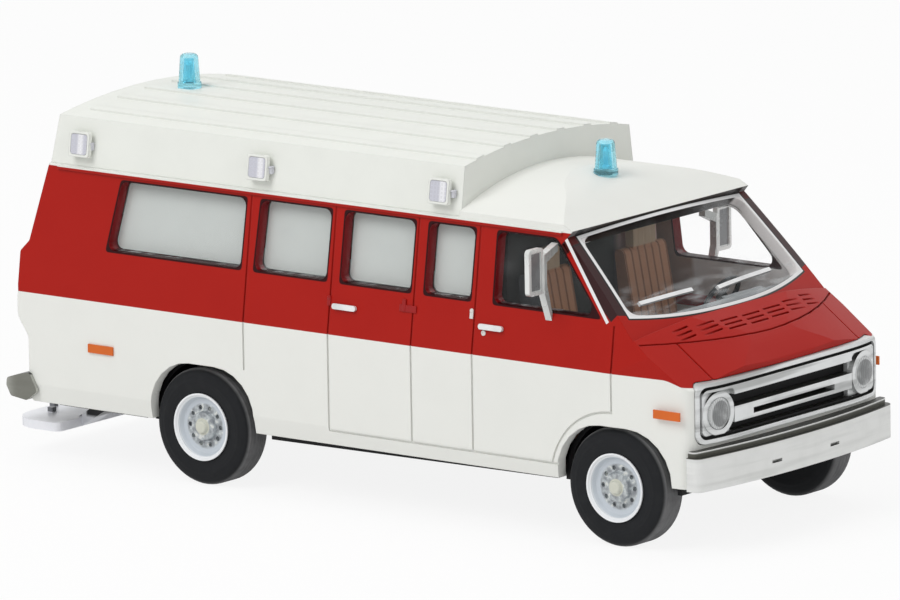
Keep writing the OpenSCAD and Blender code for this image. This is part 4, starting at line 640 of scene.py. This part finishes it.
# Tyres and rims, painted by the distance from the axle; the tyres' lighter grey tread is painted light
tyreLook = {
    "rubber": shade(38, 39, 41), "tread": shade(124, 124, 125), "treadR": (4.05, 4.23), "treadLightShare": 0.8,
    "ribsPerMm": 2.6, "ribbed": (0.2, 0.8, 0.12),
    "ringsPerMm": 3.4, "ringed": (0.3, 0.7, 0.2), "ringShare": 0.25,
    "dust": shade(52, 53, 54), "dustPerMm": 1.2, "dusty": (0.4, 0.8), "dustShare": 0.3,
    "rough": 0.5, "roughDust": 0.2, "roughTread": 0.1, "bump": (0.4, 0.05),
}
rimLook = {
    "ring": shade(198, 205, 212), "lip": shade(236, 238, 240), "hub": shade(204, 205, 192),
    "disc": shade(184, 190, 192), "pit": shade(138, 142, 146), "glint": shade(214, 216, 212),
    "lipR": (2.11, 2.21), "discR": (1.52, 1.72), "hubR": (0.57, 0.67),
    "cloudsPerMm": 2.4, "pitted": (0.4, 0.65), "glinting": (0.36, 0.42),
    "rough": 0.32, "roughSpread": 0.12, "bump": (0.15, 0.03),
}


def tyreRubber(end, axle, look):
    rubber = Finish("tyreRubber" + end, IOR=1.45, Specular_IOR_Level=0.15)
    coords, x, y, z = rubber.place()
    radius = (x - (axle.x - frontAxle.x) / mm).hypot(z - axle.z / mm)
    tread = radius.rise(*look["treadR"])
    rib = (abs(y) * look["ribsPerMm"]).stripes(*look["ribbed"])
    ring = (radius * look["ringsPerMm"]).stripes(*look["ringed"]) * (1 - tread)
    dust = rubber.noise(coords, look["dustPerMm"], detail=3)
    # painted light: the tread is painted a lighter grey than the sidewall
    colour = rubber.mix(tread * look["treadLightShare"], look["rubber"], look["tread"])
    colour = rubber.mix(dust.rise(*look["dusty"]) * look["dustShare"], colour, look["dust"])
    rubber.feed("Base Color", colour)
    rubber.feed("Roughness", look["rough"] + dust * look["roughDust"] + tread * look["roughTread"])
    rubber.bump(rib * tread + ring * look["ringShare"], *look["bump"])
    rubber.dress(f"tyre_{end}_right", f"tyre_{end}_left")


def rimPrint(end, axle, look):
    rim = Finish("rimPrint" + end, Metallic=0.15, IOR=1.45)
    coords, x, y, z = rim.place()
    radius = (x - (axle.x - frontAxle.x) / mm).hypot(z - axle.z / mm)
    cloud = rim.noise(coords, look["cloudsPerMm"], detail=3)
    mottled = rim.mix(cloud.rise(*look["pitted"]), look["disc"], look["pit"])
    mottled = rim.mix(cloud.fall(*look["glinting"]), mottled, look["glint"])
    colour = rim.mix(radius.fall(*look["discR"]), look["ring"], mottled)
    colour = rim.mix(radius.rise(*look["lipR"]), colour, look["lip"])
    rim.feed("Base Color", rim.mix(radius.fall(*look["hubR"]), colour, look["hub"]))
    rim.feed("Roughness", look["rough"] + cloud * look["roughSpread"])
    rim.bump(cloud, *look["bump"])
    rim.dress(f"rim_{end}_right", f"rim_{end}_left")


for end, axle in (("front", frontAxle), ("rear", rearAxle)):
    tyreRubber(end, axle, tyreLook)
    rimPrint(end, axle, rimLook)
print("glass, lamps and wheels done")

# Small pieces: a finish each, then their meshes, all on the van
trimLook = {
    "cloudsPerMm": 1.5, "clouded": (0.35, 0.8), "cloud": 0.5, "darker": 0.75, "roughSpread": 0.1,
    "grain": 6, "bump": (0.1, 0.02),
}


def plainFinish(name, colour, rough, metal=0.0, look=trimLook):
    made = Finish(name, Metallic=metal, Specular_IOR_Level=0.3)
    coords = made.place()[0]
    cloud = made.noise(coords, look["cloudsPerMm"], detail=3)
    darker = dimmed(colour, look["darker"])
    made.feed("Base Color", made.mix(cloud.rise(*look["clouded"]) * look["cloud"], colour, darker))
    made.feed("Roughness", rough + cloud * look["roughSpread"])
    made.bump(made.noise(coords, look["grain"]), *look["bump"])
    return made


def addBlock(shape, middle, size, soft):  # a block with rounded edges, in millimetres
    made = bmesh.ops.create_cube(shape, size=1)["verts"]
    for vert in made:
        vert.co = Vector(c * s for c, s in zip(vert.co, size)) + Vector(middle)
    edges = {edge for vert in made for edge in vert.link_edges}
    bmesh.ops.bevel(shape, geom=list(edges), offset=soft, segments=2, affect="EDGES", profile=0.5)


def addTurned(shape, profile, steps=24):  # a turned piece about Z from a list of (radius, height)
    rings = []
    for radius, height in profile:
        turns = [2 * math.pi * i / steps for i in range(steps)]
        rings.append([shape.verts.new((radius * math.cos(a), radius * math.sin(a), height)) for a in turns])
    for low, high in zip(rings, rings[1:]):
        for i in range(steps):
            shape.faces.new((low[i], low[(i + 1) % steps], high[(i + 1) % steps], high[i]))
    shape.faces.new(rings[-1])
    shape.faces.new(rings[0][::-1])


def addPiece(name, at, finish, profile=(), blocks=()):  # turned and block shapes as one piece
    shape = bmesh.new()
    if profile:
        addTurned(shape, profile)
    for middle, size, soft in blocks:
        addBlock(shape, middle, size, soft)
    bmesh.ops.transform(shape, matrix=at, verts=shape.verts)
    bmesh.ops.recalc_face_normals(shape, faces=shape.faces)
    mesh = bpy.data.meshes.new(name)
    shape.to_mesh(mesh)
    shape.free()
    mesh.materials.append(finish.material)
    piece = bpy.data.objects.new(name, mesh)
    bpy.context.scene.collection.objects.link(piece)
    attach(piece, "van")


hands = ((-1, "right"), (1, "left"))
pale = plainFinish("paleMetal", shade(222, 220, 216), rough=0.25, metal=0.3)
redTrim = plainFinish("redTrim", shade(150, 26, 26), rough=0.31)
clipGrey = plainFinish("clipGrey", shade(204, 205, 212), rough=0.35)
coreClear = plainFinish("beaconCore", beaconLook["core"], rough=0.25)

# Side doors: lock, hinges and the sliding door's track cover, each at (forward, up) on the side wall
sideWall = {"halfAtBelt": 11.65, "leanIn": 1.4, "leanTall": 9.4}
lockLook = {
    "at": (-11.33, 14.01),
    "profile": [(0.2, -0.03), (0.2, 0.05), (0.15, 0.09), (0.06, 0.09), (0.05, 0.06)],  # radius and height
}
hingeLook = {
    "at": [(-12.48, 15.44), (-25.2, 15.0)], "pin": [(0.16, -0.03), (0.16, 0.08), (0.1, 0.14), (0.04, 0.15)],
    "leaf": [((0, -0.32, 0.03), (0.3, 0.5, 0.1), 0.03)],  # middle, size and soft edge
}
trackLook = {
    "at": (-18.12, 14.97),
    "blocks": [((0, 0, 0.03), (1.5, 0.5, 0.12), 0.04), ((-0.35, 0.2, 0.05), (0.3, 0.9, 0.14), 0.04)],
}


def outOfSide(x, z, side):  # X along the van, Y up the upper side wall, Z out of it
    leanIn, leanTall = sideWall["leanIn"], sideWall["leanTall"]
    half = sideWall["halfAtBelt"] - leanIn * (z - bodyLook["beltZ"]) / leanTall
    turn = Matrix.Rotation(-side * (math.pi / 2 - math.atan2(leanIn, leanTall)), 4, "X")
    if side > 0:
        turn = turn @ Matrix.Rotation(math.pi, 4, "Z")
    return Matrix.Translation(onVan(x, side * half, z)) @ turn @ Matrix.Scale(mm, 4)


for side, hand in hands:
    addPiece(f"lock_{hand}_0", outOfSide(*lockLook["at"], side), pale, lockLook["profile"])
    for index, (x, z) in enumerate(hingeLook["at"]):
        trim = redTrim if index else pale
        at = outOfSide(x, z, side)
        addPiece(f"hinge_{hand}_{index}", at, trim, hingeLook["pin"], hingeLook["leaf"])
    at = outOfSide(*trackLook["at"], side)
    addPiece(f"track_{hand}_0", at, redTrim, blocks=trackLook["blocks"])

# Rear doors: handle with its lock, and four hinges, each at (across, up)
rearDoorLook = {
    "x": -53.69, "handleAt": (-1.5, 14.1),
    "handle": [((0, 0, 0.12), (1.8, 0.32, 0.12), 0.05), ((-0.7, 0, 0.05), (0.3, 0.3, 0.16), 0.04),
               ((0.7, 0, 0.05), (0.3, 0.3, 0.16), 0.04), ((0.7, -0.55, 0.03), (0.34, 0.4, 0.1), 0.04)],
    "hingesAt": [(-9.6, 13.2), (-9.6, 14.8), (9.6, 13.2), (9.6, 14.8)],
    "leaf": ((0, 0, 0.05), (1.2, 0.36, 0.14), 0.05),
    "knuckleOut": 0.45, "knuckleUp": 0.08, "knuckle": ((0.26, 0.5, 0.2), 0.06),
}


def outOfTail(y, z):  # X across the van, Y up, Z rearwards
    turn = Matrix(((0, 0, -1), (-1, 0, 0), (0, 1, 0))).to_4x4()
    return Matrix.Translation(onVan(rearDoorLook["x"], y, z)) @ turn @ Matrix.Scale(mm, 4)


at = outOfTail(*rearDoorLook["handleAt"])
addPiece("tail_handle", at, pale, blocks=rearDoorLook["handle"])
for index, (y, z) in enumerate(rearDoorLook["hingesAt"]):
    middle = (-math.copysign(rearDoorLook["knuckleOut"], y), 0, rearDoorLook["knuckleUp"])
    blocks = [rearDoorLook["leaf"], (middle, *rearDoorLook["knuckle"])]
    addPiece(f"tail_hinge_{index}", outOfTail(y, z), redTrim, blocks=blocks)

# Clip beside each roof lamp
clipLook = {
    "ahead": 1.06, "y": 10.05, "z": 23.35, "stem": ((0, 0, 0), (0.24, 0.36, 0.56), 0.05),
    "capAhead": 0.03, "capOut": 0.05, "capUp": 0.22, "cap": ((0.28, 0.44, 0.1), 0.03),
}
for side, hand in hands:
    middle = (clipLook["capAhead"], clipLook["capOut"] * side, clipLook["capUp"])
    blocks = [clipLook["stem"], (middle, *clipLook["cap"])]
    for index, x in enumerate(roofLampLook["middles"]):
        place = onVan(x + clipLook["ahead"], side * clipLook["y"], clipLook["z"])
        at = Matrix.Translation(place) @ Matrix.Scale(mm, 4)
        addPiece(f"lamp_clip_{hand}_{index}", at, clipGrey, blocks=blocks)

# Reflector core inside each beacon
coreLook = {
    "down": 2.5,  # from the cap's top
    "profile": [(0.3, 0.44), (0.3, 0.6), (0.16, 0.72), (0.2, 1.3), (0.24, 1.7), (0.12, 1.95)],
}
for node in ("beacon_front", "beacon_rear"):
    low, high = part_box(node)
    foot = Vector(((low.x + high.x) / 2, (low.y + high.y) / 2, high.z - coreLook["down"] * mm))
    at = Matrix.Translation(foot) @ Matrix.Scale(mm, 4)
    addPiece(node + "_core", at, coreClear, coreLook["profile"])
print("small pieces done")

# Camera at the photograph's place; the shift is its small framing error
cameraLook = {
    "place": (522.94, -696.80, 190.70), "azimuth": 38.1026, "elevation": 11.3414, "roll": -0.9485,
    "lens": 506.18, "sensor": 36, "shift": (0.00313, 0.00019), "clipStart": 0.05,
}


def addCamera(look):
    azimuth, elevation, roll = (math.radians(look[key]) for key in ("azimuth", "elevation", "roll"))
    level = math.cos(elevation)
    back = Vector((math.sin(azimuth) * level, -math.cos(azimuth) * level, math.sin(elevation)))
    right = Vector((0, 0, 1)).cross(back).normalized()
    up = back.cross(right)
    turnedRight = right * math.cos(roll) + up * math.sin(roll)
    turnedUp = up * math.cos(roll) - right * math.sin(roll)
    lensData = bpy.data.cameras.new("photoCamera")
    lensData.lens = look["lens"]
    lensData.sensor_width = look["sensor"]
    lensData.shift_x, lensData.shift_y = look["shift"]
    lensData.clip_start = look["clipStart"]
    camera = bpy.data.objects.new("photoCamera", lensData)
    camera.matrix_world = Matrix((turnedRight, turnedUp, back)).transposed().to_4x4()
    camera.location = onVan(*look["place"])
    bpy.context.scene.collection.objects.link(camera)
    bpy.context.scene.camera = camera


addCamera(cameraLook)

# Floor, world and lamps
studio = {
    "floor": 3.0, "floorSink": 0.02, "floorShade": shade(240, 240, 240), "glow": 0.88, "ambient": 0.47,
    "aim": (-24, 0, 12),
    "lamps": {"keyLamp": {"place": (-160, -480, 520), "size": 0.45, "power": 2.2},
              "topLamp": {"place": (-40, 40, 620), "size": 0.6, "power": 0.95},
              "frontLamp": {"place": (560, -160, 260), "size": 0.4, "power": 0.45}},
}


def seenDirectly(tree):  # 1 for camera, mirror and glass rays
    path = tree.nodes.new("ShaderNodeLightPath")
    total = path.outputs["Is Camera Ray"]
    for name in ("Is Glossy Ray", "Is Transmission Ray"):
        either = tree.nodes.new("ShaderNodeMath")
        either.operation = "MAXIMUM"
        tree.links.new(total, either.inputs[0])
        tree.links.new(path.outputs[name], either.inputs[1])
        total = either.outputs[0]
    return total


def addFloor(look):
    half = look["floor"] / 2
    mesh = bpy.data.meshes.new("studioFloor")
    corners = [(-half, -half), (half, -half), (half, half), (-half, half)]
    mesh.from_pydata([(x, y, -look["floorSink"] * mm) for x, y in corners], [], [(0, 1, 2, 3)])
    floor = bpy.data.objects.new("studioFloor", mesh)
    bpy.context.scene.collection.objects.link(floor)
    ground = Finish("studioFloor", Base_Color=look["floorShade"], Roughness=0.9)
    glow = ground.node("ShaderNodeEmission", None, {"Color": (1, 1, 1, 1), "Strength": 1.0})
    direct = Wire(ground, seenDirectly(ground.tree)) * look["glow"]
    lit = Wire(ground, ground.shader.outputs[0])
    blend = ground.node("ShaderNodeMixShader", None, {0: direct, 1: lit, 2: glow})
    ground.tree.links.new(blend.socket, ground.tree.nodes["Material Output"].inputs["Surface"])
    mesh.materials.append(ground.material)


def addLight(look):
    world = bpy.data.worlds.new("studioWorld")
    bpy.context.scene.world = world
    world.use_nodes = True
    tree = world.node_tree
    strength = tree.nodes.new("ShaderNodeMapRange")
    tree.links.new(seenDirectly(tree), strength.inputs["Value"])
    strength.inputs["To Min"].default_value = look["ambient"]
    tree.links.new(strength.outputs[0], tree.nodes["Background"].inputs["Strength"])
    tree.nodes["Background"].inputs["Color"].default_value = (1, 1, 1, 1)
    middle = onVan(*look["aim"])
    for name, lamp in look["lamps"].items():
        data = bpy.data.lights.new(name, "AREA")
        data.shape = "DISK"
        data.size = lamp["size"]
        data.energy = lamp["power"]
        holder = bpy.data.objects.new(name, data)
        holder.location = onVan(*lamp["place"])
        holder.rotation_euler = (middle - holder.location).to_track_quat("-Z", "Y").to_euler()
        holder.visible_glossy = False
        bpy.context.scene.collection.objects.link(holder)


addFloor(studio)
addLight(studio)
bpy.context.scene.view_settings.view_transform = "Standard"
print("studio done")
